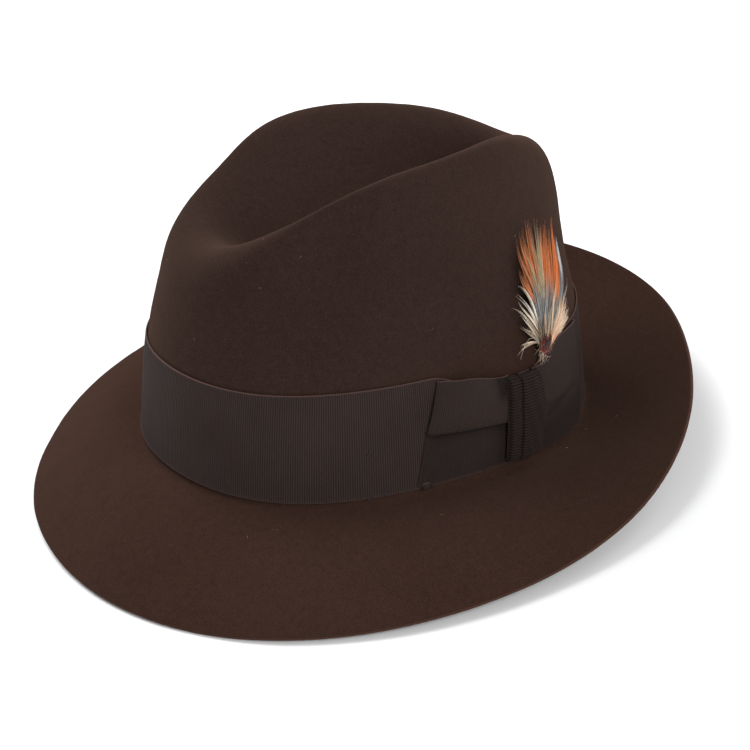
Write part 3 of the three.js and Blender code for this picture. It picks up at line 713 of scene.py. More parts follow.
def P_lower(u, v):
    fu = u / 46.0
    s_right = 27.0
    hb = 3.9 + 0.5 * np.sin(fu * 3)
    ht = fold_h(-14 + fu * 38) + 3.6
    h = hb + (ht - hb) * v / 26.0
    sl = left_s(h)
    s = sl + (s_right - sl) * fu
    belly = np.sin(math.pi * np.clip(fu * 0.95 + 0.05, 0, 1)) ** 0.9
    d = 1.75 + belly * (0.9 * np.sin(math.pi * np.clip(v / 26.0 * 0.8, 0, 1))) + 0.35 * sm(fu, 0.05, 0.5)
    d = d - 0.55 * (1 - sm(u, 0.0, 1.1))
    d = np.maximum(d, 1.35)
    return ph_of_s(s), h, d


# painted shade on the lower flap: darker just under the upper flap's fold and towards the knot
patch("bow_wing_lower_fold", P_lower, Uw, np.concatenate([[0, 0.3, 0.6, 1.0], np.linspace(2.5, 26, 14)]), 0.4, M_BOW_LOWER_PAINTED_SHADE,
      replaces=("bow_wing_lower",), selv=(True, False), selv_u=(True, False), rib_amp=0.05,
      painted_recess_shade=lambda u, v: np.clip(0.8 * np.exp(-np.maximum(21.0 - v, 0) / 2.2) * sm(u, -2, 6) + 0.4 * np.exp(-np.maximum(38 - u, 0) / 2.5), 0, 0.85))


def P_backing(u, v):
    s = -9.0 + u
    return ph_of_s(s), 6 + v, 1.32 + 0 * u


patch("bow_backing_ribbon", P_backing, np.arange(0, 42, 0.5), np.linspace(0, 31, 14), 0.28, M_BOW, replaces=("bow_backing",), rib_amp=0.02, selv=(False, False))


# rear wing: bulging upper part over a short pleat, top edge climbing away from the knot
def rear_top(s):
    return 41.6 + 7.6 * sm(s, 46, 68) - 0.8 * sm(s, 72, 92)


def P_rear(u, v):
    fu = u / 52.0
    h_b = 3.9 + 0.4 * np.sin(fu * 3)
    s_l = 38.5 + 4.0 * np.clip((v - 0) / 44, 0, 1)
    s_r = 88.5 - 5.0 * np.clip(1 - v / 44, 0, 1)
    s = s_l + (s_r - s_l) * fu
    ht = rear_top(s)
    h = h_b + (ht - h_b) * v / 44.0
    belly = np.sin(math.pi * np.clip(fu * 0.94 + 0.06, 0, 1)) ** 0.8
    prof = 0.2 + 0.8 * np.sin(math.pi * np.clip(v / 44 * 0.9 + 0.06, 0, 1))
    d = 2.05 + 3.1 * belly * prof + 0.4 * sm(fu, 0, 0.2)
    # pleat crease from the knot, rising and dying out
    hc = 21.5 + 3.0 * sm(s, 46, 70)
    depth = 1.7 * (1 - sm(s, 60, 78))
    x = h - hc
    d = d - depth * np.exp(-((x / 1.5) ** 2)) + depth * 0.5 * np.exp(-(((x - 4.2) / 3.0) ** 2))
    d = d + 0.22 * np.sin(s / 7.0 - h / 9.0)
    d = d - 0.8 * sm(u, 50.6, 52.0)
    d = np.maximum(d, 2.9 - 1.3 * sm(s, 58, 66))
    return ph_of_s(s), h, d


# painted shade on the rear wing: a dark line along the crease and darker below it
patch("bow_wing_rear_fold", P_rear, np.concatenate([np.arange(0, 50.5, 1.0 / RIB), np.linspace(50.5, 52, 7)]),
      np.concatenate([[0, 0.3, 0.6, 1.0], np.linspace(2, 42.5, 44), [43.2, 43.5, 43.8, 44]]), 0.5, M_BOW, replaces=("bow_wing_rear",),
      selv=(True, True), selv_u=(False, True), rib_amp=0.05,
      painted_recess_shade=lambda u, v: np.clip(0.5 * np.exp(-((v - 17.5 - 0.055 * u) / 1.3) ** 2) * (1 - sm(u, 20, 36))
                                  + 0.38 * (1 - sm(v, 12, 21)), 0, 0.8))


# knot: one wrapped length with a narrow pleat in front of a wide one
KNOT_L = 40.0


def P_knot(u, v):
    # v: 0..40 round the wrap from under the lower edge to behind the top edge; u: 0..26 from front to back
    R = 3.2
    q = math.pi / 2 * R
    lowc = np.clip(1 - v / q, 0, 1)
    topc = np.clip((v - (KNOT_L - q)) / q, 0, 1)
    mid = np.clip((v - q) / (KNOT_L - 2 * q), 0, 1)
    h0, h1 = 8.3, 38.2
    h = h0 + (h1 - h0) * mid
    h = h - R * np.sin(lowc * math.pi / 2) + R * np.sin(topc * math.pi / 2)
    inset = R * (1 - np.cos(lowc * math.pi / 2)) + R * (1 - np.cos(topc * math.pi / 2))
    fh = np.clip((h - 6) / 37, 0, 1)
    sL = 20.6 + 5.0 * fh
    sM = 27.4 + 5.4 * fh
    sR = 39.6 + 6.4 * sm(fh, 0, 0.5) - 0.6 * sm(fh, 0.6, 1.0)
    a = u / 26.0
    s = np.where(a < 0.36, sL + (sM + 0.5 - sL) * a / 0.36, sM - 0.5 + (sR - sM + 0.5) * (a - 0.36) / 0.64)
    e1 = np.clip(a / 0.36, 0, 1)
    e2 = np.clip((a - 0.36) / 0.64, 0, 1)
    narrow = 5.5 + 0.55 * np.sin(math.pi * np.clip(e1, 0, 1)) ** 0.6 - 2.0 * (1 - sm(e1, 0, 0.16))
    wide = 6.7 + 0.6 * np.sin(math.pi * e2) ** 0.7 - 2.6 * sm(e2, 0.86, 1.0)
    seam = sm(a, 0.335, 0.385)
    d = narrow * (1 - seam) + wide * seam
    d = d - 1.25 * np.exp(-(((a - 0.352) / 0.016) ** 2))
    bulge = np.sin(math.pi * np.clip(mid, 0, 1))
    d = d + 0.35 * bulge - inset + 0.12 * np.sin(h / 5.0 + s)
    return ph_of_s(s), h, np.maximum(d, 1.9)


patch("bow_knot_wrap", P_knot, np.concatenate([np.linspace(0, 1.4, 7)[:-1], np.linspace(1.4, 8.4, 12)[:-1], np.linspace(8.4, 10.4, 22)[:-1], np.linspace(10.4, 22.4, 20)[:-1], np.linspace(22.4, 26, 12)]),
      np.arange(0, KNOT_L + 0.01, 1.27 / 8), 0.55, M_KNOT_PAINTED_SHADE, rib="v", pitch=1.27, replaces=("bow_knot",), selv=(False, False), selv_u=(True, True), rib_amp=0.36)


# small tail of ribbon below the bow, and its frayed ends
def P_tail(u, v):
    return ph_of_s(-19.6 + u), 2.9 + v, 1.75 + 0.25 * np.sin(u)


patch("bow_tail_tag", P_tail, np.linspace(0, 5.4, 14), np.linspace(0, 2.4, 7), 0.3, M_BOW, rib_amp=0.04, replaces=("bow_tail",))


# ------------------------------------------------------------------ threads and hairs as swept tubes
def tubes(name, paths, radii, mat, sides=6, body="hat", replaces=(), cols=None, flat=1.0, closed=False, caps=True):
    """Each path (n,3) becomes one tapered tube; radii is a list of arrays or numbers."""
    V, F, C = [], [], []
    base = 0
    for pi, P in enumerate(paths):
        P = np.asarray(P, float)
        n = len(P)
        if closed:
            T = np.roll(P, -1, 0) - np.roll(P, 1, 0)
        else:
            T = np.gradient(P, axis=0)
        T /= np.maximum(np.linalg.norm(T, axis=1, keepdims=True), 1e-9)
        ref = np.array([0.0, 0, 1]) if abs(T[:, 2]).mean() < 0.8 else np.array([1.0, 0.3, 0])
        N = np.cross(T, ref)
        N /= np.maximum(np.linalg.norm(N, axis=1, keepdims=True), 1e-9)
        Bn = np.cross(T, N)
        r = np.broadcast_to(np.asarray(radii[pi], float), (n,))
        a = TAU * np.arange(sides) / sides
        ring = (P[:, None] + N[:, None] * (np.cos(a) * 1.0)[None, :, None] * r[:, None, None]
                + Bn[:, None] * (np.sin(a) * flat)[None, :, None] * r[:, None, None])
        V.append(ring.reshape(-1, 3))
        F += grid_faces(n, sides, wrap_c=True, wrap_r=closed, base=base, flip=False)
        if not closed and caps:
            F.append([base + k for k in range(sides)][::-1])
            F.append([base + (n - 1) * sides + k for k in range(sides)])
        if cols is not None:
            C.append(np.repeat(np.broadcast_to(cols[pi], (n, 3)), sides, 0))
        base += n * sides
    return make(name, np.concatenate(V), F, mat, body, replaces=replaces,
                cols=None if cols is None else np.concatenate(C))


def cord(n, f):
    return np.array([f(t) for t in np.linspace(0, 1, n)])


# tacks that hold the ribbon to the felt
def tack(name, deg, h0, h1, slant=0.3):
    paths = []
    for k in range(2):
        t = np.linspace(0, 1, 12)
        ph = math.radians(deg + 0.25 * k) + np.radians(slant) * (t - 0.5)
        paths.append(wall(ph, h0 + (h1 - h0) * t, 1.12 + 0.32 * np.sin(math.pi * t)))
    tubes(name + "_stitch", paths, [0.17] * 2, M_THREAD, sides=8, replaces=(name,))


tack("band_tack_a", -22.9, 2.3, 4.4, 0.9)
tack("band_tack_b", -19.4, 3.2, 4.7, -1.1)
tack("band_tack_c", -22.9, 21.5, 23.6, 0.7)

# frayed threads at the bow's lower corner
fr = []
for k in range(9):
    a = rng.uniform(-20.5, -14.5)
    L = rng.uniform(1.5, 3.6)
    t = np.linspace(0, 1, 8)
    curl = rng.uniform(-1.6, 1.6)
    fr.append(wall(ph_of_s(a + curl * t * t), 4.0 - 0.6 * L * t + 0.3 * np.sin(6 * t + a), 1.9 + 0.7 * t + 0.3 * np.sin(5 * t + k)))
tubes("bow_frayed_threads", fr, [0.07] * len(fr), M_TAPE, sides=5)


# ------------------------------------------------------------------ feather bundle
FP = math.radians(28.4)
FO = wall(FP, 46.2, 2.0)
F_n = oval_n(FP)
FU = np.array([-0.19055, -0.08435, 0.97805])
FT = np.array([-F_n[1], F_n[0], 0.0])
FN = np.cross(FT, FU)
FN /= np.linalg.norm(FN)
if FN[:2] @ F_n < 0:
    FN = -FN
FT = np.cross(FU, FN)
if FT[1] < 0:
    FT = -FT


def fpt(a, b, c):
    a, b, c = np.broadcast_arrays(np.asarray(a, float), np.asarray(b, float), np.asarray(c, float))
    return FO + FT * a[..., None] + FU * b[..., None] + FN * c[..., None]


def srgb(r, g, b):
    v = np.array([r, g, b]) / 255
    return np.where(v <= 0.04045, v / 12.92, ((v + 0.055) / 1.055) ** 2.4)


C_ORANGE = [srgb(214, 112, 44), srgb(200, 92, 32), srgb(224, 134, 66), srgb(180, 78, 28), srgb(196, 128, 78)]
C_TAN = [srgb(206, 178, 142), srgb(184, 152, 118), srgb(222, 198, 166)]
C_GREY = [srgb(150, 148, 138), srgb(118, 120, 114), srgb(178, 172, 158), srgb(92, 92, 88)]
C_CREAM = [srgb(236, 222, 200), srgb(218, 198, 172), srgb(246, 238, 224), srgb(196, 172, 144)]
C_PEACH = [srgb(232, 190, 156), srgb(224, 172, 136), srgb(240, 208, 180)]
C_WHITE = [srgb(236, 238, 238), srgb(206, 212, 216), srgb(172, 180, 184)]
C_DARK = [srgb(46, 34, 30), srgb(30, 22, 20), srgb(62, 40, 32)]
C_RED = [srgb(98, 30, 22), srgb(76, 24, 20), srgb(120, 42, 28)]


def by_(bx, dy, t):
    return bx + dy * t


def barb(root, tip, bend, n=16, lift=(4.2, 6.5), wob=0.25, r=None):
    """A barb from root (a, b) to tip (a, b), bowed sideways by bend, standing off the crown by lift."""
    r = r or rng
    t = np.linspace(0, 1, n)
    ax, bx = root
    dx, dy = tip[0] - ax, tip[1] - bx
    L = math.hypot(dx, dy) + 1e-6
    nx, ny = -dy / L, dx / L
    off = bend * np.sin(math.pi * t ** 1.15) + wob * np.sin(t * r.uniform(5, 11) + r.uniform(0, 6)) * t
    a = ax + dx * t + nx * off
    shift = -1.8 - 3.1 * sm(by_(bx, dy, t), 2, 32)
    a = a + shift
    b = bx + dy * t + ny * off
    c = lift[0] + (lift[1] - lift[0]) * t ** 0.8 + r.normal() * 0.15
    c = -0.9 + (c - 4.2) * 0.75 + 0.012 * np.maximum(b, 0)
    c = c + 0.9 * sm(b, 1.0, 9.0)
    # low down the barbs follow the crown and pass behind the rear wing
    c = c - np.maximum(a - 2.0, 0) ** 2 / 140 * (1 - 0.6 * sm(b, 8, 30))
    return fpt(a, b, c)


def lerp_pts(pts, x):
    pts = np.array(pts, float)
    q = np.linspace(0, 1, len(pts))
    return np.array([np.interp(x, q, pts[:, 0]), np.interp(x, q, pts[:, 1])])


def strand(name, n, roots, tips, cols, bend, lift, width, dark_root=0.0, tip_col=None, tip_start=0.7, mat=M_FEATHER,
           replaces=(), jitter=0.7, length=(0.72, 1.03), seed=1, root_col=None):
    """n barbs fanning from the root line to the tip line; each is a thin flattened tapered tube."""
    r = np.random.default_rng(seed)
    P, R, C = [], [], []
    # barbs cling together in small locks with pointed ends
    G = max(3, n // 7)
    gx = (np.arange(G) + r.uniform(0.1, 0.9, G)) / G
    gt = [lerp_pts(tips, q) + r.normal(size=2) * jitter for q in gx]
    gf = np.where(r.uniform(size=G) < 0.55, r.uniform(length[0], length[1], G), 1.0)
    gb = bend[0] + (bend[1] - bend[0]) * gx + r.normal(size=G) * 0.5
    for k in range(n):
        g = k % G
        x = np.clip(gx[g] + r.normal() * 0.8 / G, 0, 1)
        rt = lerp_pts(roots, x) + r.normal(size=2) * 0.3
        tp = gt[g] + r.normal(size=2) * 0.75
        f = gf[g] * r.uniform(0.9, 1.0)
        tp = rt + (tp - rt) * f
        bd = gb[g] + r.normal() * 0.25
        path = barb(rt, tp, bd, n=15, lift=(lift[0], lift[1] + r.uniform(-0.5, 0.5)), r=r)
        t = np.linspace(0, 1, len(path))
        w = width * r.uniform(0.7, 1.25) * (0.35 + 0.65 * np.sin(math.pi * np.clip(t * 0.8 + 0.15, 0, 1)) ** 0.7)
        w = w * (1 - 0.9 * sm(t, 0.75, 1.0))
        c = cols[r.integers(len(cols))] * r.uniform(0.75, 1.2)
        col = np.repeat(c[None], len(path), 0)
        rc = np.array(root_col) if root_col is not None else C_DARK[0]
        dr = dark_root * (1 - sm(t, 0.12, 0.5))[:, None]
        col = col * (1 - dr) + rc * dr
        if tip_col is not None:
            tf = sm(t, tip_start, min(1.0, tip_start + 0.18))[:, None]
            col = col * (1 - tf) + tip_col[r.integers(len(tip_col))][None] * tf
        P.append(path)
        R.append(w)
        C.append(col)
    return tubes(name, P, R, mat, sides=5, body="feather", cols=C, flat=0.45, replaces=replaces)


N_F = 1.0 if HI else 0.6


def lock_curve(ctrl, t):
    """A smooth curve through a lock's control points (a, b), by a cubic fit along the chord."""
    q = np.array(ctrl, float)
    u = np.concatenate([[0], np.cumsum(np.hypot(*np.diff(q, axis=0).T))])
    u /= u[-1]
    deg = 4 if len(q) > 5 else min(3, len(q) - 1)
    return np.stack([np.polyval(np.polyfit(u, q[:, k], deg), t) for k in (0, 1)], -1)


def locks(name, curves, n, tip_cols, low_cols, width, layer, spread=0.9, split=0.5, soft=0.16, replaces=(), seed=1,
          shorter=0.7, fork=0.35, tip_dark=0.0):
    """Barbs that cling together in pointed locks: each follows its lock's curve, spread in the middle and closing at the tip."""
    r = np.random.default_rng(seed)
    P, R, C = [], [], []
    for ctrl in curves:
        lc = tip_cols[r.integers(len(tip_cols))]
        for k in range(max(3, int(n * N_F))):
            t = np.linspace(0, 1, 18)
            f = 1.0 if k < 2 else r.uniform(shorter, 1.0)
            q = lock_curve(ctrl, t * f)
            d = np.gradient(q, axis=0)
            d /= np.linalg.norm(d, axis=1)[:, None] + 1e-9
            nrm = np.stack([-d[:, 1], d[:, 0]], -1)
            o = r.normal() * spread * (0.25 + 0.75 * np.sin(math.pi * np.clip(t * 0.9 + 0.05, 0, 1))) + r.normal() * fork * t ** 3
            o = o + 0.12 * np.sin(t * r.uniform(5, 10) + r.uniform(0, 6)) * t
            q = q + nrm * o[:, None]
            a, b = q[:, 0], q[:, 1]
            c = -0.9 + layer + 0.012 * np.maximum(b, 0) + 0.9 * sm(b, 1.0, 9.0) + r.normal() * 0.2
            c = c - np.maximum(a - 2.0, 0) ** 2 / 140 * (1 - 0.6 * sm(b, 8, 30))
            w = width * r.uniform(0.7, 1.2) * (0.4 + 0.6 * np.sin(math.pi * np.clip(t * 0.8 + 0.15, 0, 1)) ** 0.7) * (1 - 0.88 * sm(t, 0.72, 1.0))
            ct = (lc * 0.5 + tip_cols[r.integers(len(tip_cols))] * 0.5) * r.uniform(0.78, 1.18)
            cl = low_cols[r.integers(len(low_cols))] * r.uniform(0.75, 1.15)
            x = sm(t * f, split - soft, split + soft)[:, None]
            col = cl[None] * (1 - x) + ct[None] * x
            col = col * (1 - 0.45 * (1 - sm(t * f, 0.0, 0.2)))[:, None]
            col = col * (1 - tip_dark * sm(t, 0.8, 1.0))[:, None]
            P.append(fpt(a, b, c))
            R.append(w)
            C.append(col)
    return tubes(name, P, R, M_FEATHER, sides=5, body="feather", cols=C, flat=0.45, replaces=replaces)


C_SLATE = [srgb(108, 112, 116), srgb(88, 94, 99), srgb(132, 137, 141)]
C_RUST = [srgb(192, 112, 56), srgb(172, 98, 50), srgb(204, 126, 72), srgb(208, 106, 42), srgb(150, 100, 64)]
C_OCHRE = [srgb(122, 92, 60), srgb(96, 70, 46), srgb(146, 116, 78)]
C_KHAKI = [srgb(172, 148, 112), srgb(150, 130, 100), srgb(196, 172, 134), srgb(128, 112, 88)]
# long orange hackles at the front edge, then the middle and back ones
locks("hackle_orange_front", [
    [(3.8, -1.2), (1.9, 13.5), (-0.2, 27.3), (-4.2, 36.9), (-7.4, 45.1), (-8.3, 54)],
    [(3.8, -1.2), (2.7, 13.2), (1, 26.9), (-2.2, 37.3), (-5, 46.9), (-5.5, 56.3)],
    [(3.8, -1.2), (3.3, 13.5), (2.5, 27.4), (0.3, 38.5), (-1.8, 48.3), (-2.4, 57.3)],
    [(4, -1.2), (3.7, 13.3), (3.5, 28), (2.1, 38.8), (0.4, 49.6), (-0.1, 59.2)],
    [(4, -1.2), (4.1, 13.2), (4.4, 27.7), (3.4, 38.4), (2.2, 49), (2.1, 58.8)],
    [(4, -1.2), (1.8, 13), (-2.1, 24.9), (-6, 31.4), (-7.9, 37.2), (-8.3, 40.9)],
    [(4, -1.2), (1.8, 13), (-1, 23.5), (-4.5, 30.4), (-6.2, 35.1), (-6.6, 39.3)],
], 18,
      C_RUST, C_GREY[:2] + C_KHAKI[:2], 0.25, 0.3, spread=0.95, split=0.5, replaces=("feather_hackle",), seed=21, tip_dark=0.3)
locks("hackle_orange_middle", [
    [(4, -1.2), (5.2, 12.8), (6.9, 25.8), (7.8, 36.9), (8.4, 45.9), (10.1, 53.8)],
    [(4.2, -1.3), (5.6, 12.6), (8.3, 25.3), (9.6, 36.3), (10.6, 45.2), (12.8, 52.9)],
    [(4.4, -1.4), (6.3, 12.4), (9.5, 24.9), (11.2, 35.7), (12.6, 45.6), (14.7, 54.5)],
    [(4.5, -1.4), (7, 12.1), (10.7, 23.9), (12.6, 34.2), (13.6, 43.1), (15, 49.9)],
], 18,
      C_ORANGE[:2] + C_RUST[:4], C_GREY + C_SLATE, 0.25, 0.5, spread=0.9, split=0.5, seed=22)
locks("hackle_orange_back", [
    [(4.9, -1.6), (8.3, 11.6), (13.1, 23), (15.4, 34.2), (15.9, 43.4), (16.7, 50.3)],
    [(5.1, -1.7), (9.6, 11.1), (15.6, 21.6), (18.4, 33.2), (19, 45), (20, 54)],
    [(5.2, -1.7), (10.7, 10.7), (17.6, 20.8), (19.5, 28.6), (20.1, 37.3), (20.4, 46)],
    [(5.2, -1.7), (11.2, 10.5), (18.9, 19.3), (20.4, 26.2), (20.9, 32.3), (21.1, 38.5)],
], 13,
      C_ORANGE[:2] + C_RUST[:4], C_GREY[2:3] + C_KHAKI, 0.24, 0.4, spread=0.6, split=0.45, seed=23)
# khaki stripes between the orange ones
locks("stripe_tan", [
    [(3.5, -1), (2.8, 13.7), (1.6, 27.7), (-1.6, 38.1), (-3.9, 46), (-5.7, 51.1)],
    [(3.5, -1), (3.4, 13.5), (3.5, 28.1), (3, 38.6), (2.2, 48), (2.1, 55.1)],
    [(3.7, -1.1), (3.9, 13.3), (4.8, 27.6), (5.1, 39.9), (4.9, 50.1), (5.1, 58.4)],
    [(3.7, -1.1), (4.3, 13.1), (5.4, 27.4), (6.1, 39.6), (6.5, 49.1), (7.3, 57.2)],
    [(3.7, -1.1), (4.6, 13), (6.1, 27.1), (6.8, 38.3), (6.9, 46.4), (8.3, 53.1)],
], 15,
      C_KHAKI, C_GREY, 0.16, 0.8, spread=0.75, split=0.4, seed=24)
# slim white feather at the back edge, and its slate-blue lower part
locks("sliver_white", [
    [(5.4, -1.8), (11.5, 9.3), (20, 16.7), (22.1, 28.7), (22.4, 37.6), (21.9, 44.8)],
    [(5.4, -1.8), (11.8, 9.2), (21.1, 16.3), (23.5, 27.2), (23.5, 35.6), (22.7, 42.7)],
], 11,
      C_WHITE[:2], C_SLATE, 0.17, 0.5, spread=0.35, split=0.72, soft=0.12, replaces=("feather_sliver",), seed=26, shorter=0.85, fork=0.15)
locks("sliver_slate", [
    [(5.6, -1.9), (12.3, 9), (22.6, 15.7), (24.7, 23.5), (24.4, 29.5), (23.7, 34.5)],
    [(6.2, -1.6), (14.9, 6.8), (26.3, 14.3), (29.1, 17.5), (29.3, 20.7), (29.3, 23)],
], 9,
      C_SLATE + C_WHITE[2:], C_PEACH[:1] + C_GREY[:1], 0.15, 0.4, spread=0.4, split=0.6, seed=27, shorter=0.8, fork=0.2)
# iridescent grey body with an ochre shade low down, brighter barbs over it
locks("body_grey", [
    [(2.6, -0.1), (-0.7, 11.9), (-3, 20.6), (-4.9, 26.5), (-5.9, 30.4)],
    [(2.8, -0.1), (0.7, 12.4), (-0, 22.1), (-0.5, 28.5), (-1.3, 33.4)],
    [(3.1, -0.3), (2.4, 11.8), (2.9, 21), (3.5, 28.1), (3.6, 33.2)],
    [(3.5, -0.4), (4.1, 11.1), (6, 19.9), (7, 26.9), (7.7, 32.8)],
    [(3.6, -0.5), (6, 10.4), (8.8, 18.9), (10.6, 25.6), (11.5, 33.6)],
    [(4, -0.6), (7.9, 9.7), (12.1, 17.7), (14.3, 23.2), (15.2, 28.1)],
    [(4.2, -0.7), (9.3, 9.1), (14.7, 15), (17.2, 19.4), (18.8, 22.6)],
], 17,
      C_GREY + C_SLATE, C_OCHRE[:1] + C_GREY[1:2] + C_SLATE[:2], 0.17, 1.1, spread=1.1, split=0.4, replaces=("feather_badger",), seed=28, shorter=0.55, fork=0.8)
locks("body_ochre", [
    [(1.6, 0.9), (-0.9, 8.9), (-1.4, 15.4), (-1.4, 19.5)],
    [(2.3, 0.6), (1.3, 8.5), (1.9, 14.6), (2.4, 18.6)],
], 12,
      C_OCHRE, C_OCHRE + C_DARK, 0.16, 1.5, spread=0.7, split=0.4, seed=36, shorter=0.6)
locks("body_cream", [
    [(4, -0.1), (7.3, 6.2), (10.1, 13.1), (12, 18.8), (13.8, 24.4)],
    [(3.6, 0.1), (4.8, 7.2), (7, 13.8), (8.6, 19)],
    [(3, 0.4), (3, 7.9), (3.9, 15.5), (5, 21.4)],
], 9,
      C_CREAM[:2] + C_TAN, C_CREAM[1:2] + C_TAN[:2], 0.15, 1.6, spread=0.6, split=0.4, seed=29, shorter=0.6)
# peach fluff toward the back, with two loose dark hairs
locks("fluff_peach", [
    [(5.7, -0.8), (12.2, 5.8), (19.8, 11.5), (24.2, 15.1), (24.1, 19)],
    [(5.9, -0.8), (12.9, 5), (20.8, 8.9), (26.9, 10.8), (28.8, 13.9)],
    [(6.1, -0.9), (13.6, 4.2), (22.3, 6.1), (29.1, 7.2), (34.4, 8.1)],
    [(6.2, -1), (14.3, 3.4), (22.5, 4.4), (30.1, 4), (40.2, 1.7)],
    [(6.1, -0.9), (11.7, 4.4), (17.1, 9.3), (19.8, 14.7), (19.3, 19.7)],
    [(6.2, -1), (13, 2.2), (19.2, 3.5), (25.5, 2.9), (32.5, 0.8)],
], 26,
      C_PEACH + C_CREAM[:2], C_PEACH + C_CREAM[3:], 0.12, 1.1, spread=1.3, split=0.4, replaces=("feather_fluff",), seed=30, shorter=0.6, fork=1.0)
locks("fluff_hair", [
    [(11.5, 4.5), (23.1, 4.7), (36.3, 1.7), (47, -4.6), (47, -7.6)],
    [(11.5, 4.5), (19.6, 5), (27.3, 2.5), (39.2, -3)],
], 3,
      C_OCHRE, C_PEACH, 0.08, 1.2, spread=0.3, split=0.5, seed=37, shorter=0.85, fork=0.5)
# badger wisps at the front: slim cream locks with curled tips over dark roots
locks("badger_front", [
    [(1.6, 1.9), (-1.3, 12.1), (-3.5, 21.3), (-6.2, 27.5), (-9.2, 31.9), (-13, 34.8)],
    [(1.6, 1.9), (-1.8, 11.8), (-5.1, 19.8), (-8.1, 24.6), (-11.3, 28.1), (-14.5, 31.5)],
    [(1.6, 1.7), (-2.4, 11), (-6.4, 17.7), (-10, 21.9), (-12.3, 25.3), (-13.9, 28.1)],
    [(1.3, 1.5), (-3.2, 9.7), (-7.6, 16.1), (-11.5, 21.2), (-15.1, 24.5), (-18.9, 27)],
    [(1.3, 1.5), (-3.8, 8.9), (-7.5, 14.5), (-10.3, 18.2), (-12, 20.8), (-13, 22.2)],
    [(0.9, 1.4), (-4.4, 7.5), (-8.2, 11.1), (-11.2, 14.1), (-13.5, 15.7), (-15.1, 17)],
    [(0.9, 1.4), (-3.9, 8.4), (-6.4, 11.5), (-9.1, 13.5), (-11.7, 15.6), (-12.8, 16.8)],
    [(0.6, 1.3), (-5.3, 6.6), (-10.7, 7.2), (-15.1, 7), (-17.7, 6.2), (-19, 5.5)],
    [(0.6, 1.3), (-4.4, 5.9), (-8.9, 7.7), (-12.3, 8.5), (-14.5, 8.7), (-16.5, 8.8)],
], 7,
      C_CREAM, C_GREY[:2] + C_TAN[1:2], 0.13, 1.3, spread=0.26, split=0.4, seed=31, shorter=0.75, fork=0.3)
locks("badger_dark", [
    [(1.8, 0.8), (-3.1, 11.2), (-6.1, 18.6), (-8.6, 23.7)],
    [(1.6, 0.8), (-3.6, 8.8), (-7.9, 14.1), (-10.7, 17.7)],
    [(2.4, 0.5), (-1.4, 11.1), (-3.5, 20.3), (-5.4, 26.1)],
], 12,
      C_DARK + [srgb(92, 66, 46)], C_DARK, 0.13, 0.8, spread=0.8, split=0.5, seed=32, shorter=0.6)
# dark red patch with a black spot at the root, and the frayed tan fibres round it
strand("patch_red", int(90 * N_F), [(1.0, -2.2), (6.0, -1.6)], [(-0.6, 5.0), (2.4, 7.0), (6.0, 7.2), (9.0, 4.6)],
       C_RED, (0.4, -0.5), (6.8, 7.6), 0.25, seed=33, length=(0.5, 1.0), jitter=0.5)
strand("patch_black", int(40 * N_F), [(2.4, 0.4), (5.0, 0.8)], [(2.2, 4.6), (4.2, 5.6), (6.0, 4.6)],
       C_DARK[:2], (0.2, -0.2), (7.4, 8.0), 0.26, seed=34, replaces=("feather_tuft",), length=(0.6, 1.0), jitter=0.4)
r_ = np.random.default_rng(35)
P, R, C = [], [], []
for k in range(int(54 * N_F)):
    t = np.linspace(0, 1, 14)
    a0, b0 = r_.uniform(-1.0, 5.5), r_.uniform(-2.4, 3.0)
    ang = r_.uniform(1.9, 4.6) if r_.uniform() < 0.6 else r_.uniform(-0.6, 1.6)
    L = r_.uniform(2.5, 8.0)
    cu = r_.uniform(-2.2, 2.2)
    th = ang + cu * t
    step = L / len(t)
    a = a0 + np.cumsum(np.cos(th)) * step
    b = np.maximum(b0 + np.cumsum(np.sin(th)) * step, -4.6)
    c = 1.2 + 1.3 * np.sin(t * 3 + k) * t
    P.append(fpt(a, b, c))
    R.append(0.085 * (1 - 0.7 * t))
    cc = (C_TAN + C_CREAM)[r_.integers(7)] * r_.uniform(0.6, 1.1)
    C.append(np.repeat(cc[None], len(t), 0))
tubes("root_frayed_fibres", P, R, M_FEATHER, sides=4, body="feather", cols=C)
# one long curved barb low at the front
t = np.linspace(0, 1, 30)
long_path = fpt(1.0 - 15.5 * t + 0 * t - 3.4 * sm(t, 0.75, 1.0), 1.0 + 9.5 * np.sin(math.pi * t * 0.72) - 1.6 * t - 3.2 * sm(t, 0.8, 1.0), 1.2 + 0.6 * t)
tubes("long_curved_barb", [long_path], [0.10 * (1 - 0.6 * t)], M_FEATHER, sides=6, body="feather", cols=[np.repeat(C_CREAM[1][None], 30, 0)])
# quill stem going down behind the knot
t = np.linspace(0, 1, 24)
tubes("quill_stem", [fpt(1.6 + 0.6 * t, -20.0 + 22 * t, -0.35 - 0.3 * sm(t, 0.85, 1))], [0.55 * (1 - 0.35 * t)], M_QUILL, sides=10, body="feather", replaces=("feather_quill",))


# ------------------------------------------------------------------ inside: sweatband, reed, lining
def seam_h(ph):
    s = np.sin(ph)
    return 88.68 + 7.83 * s + 0.23 * s * s - 8.0


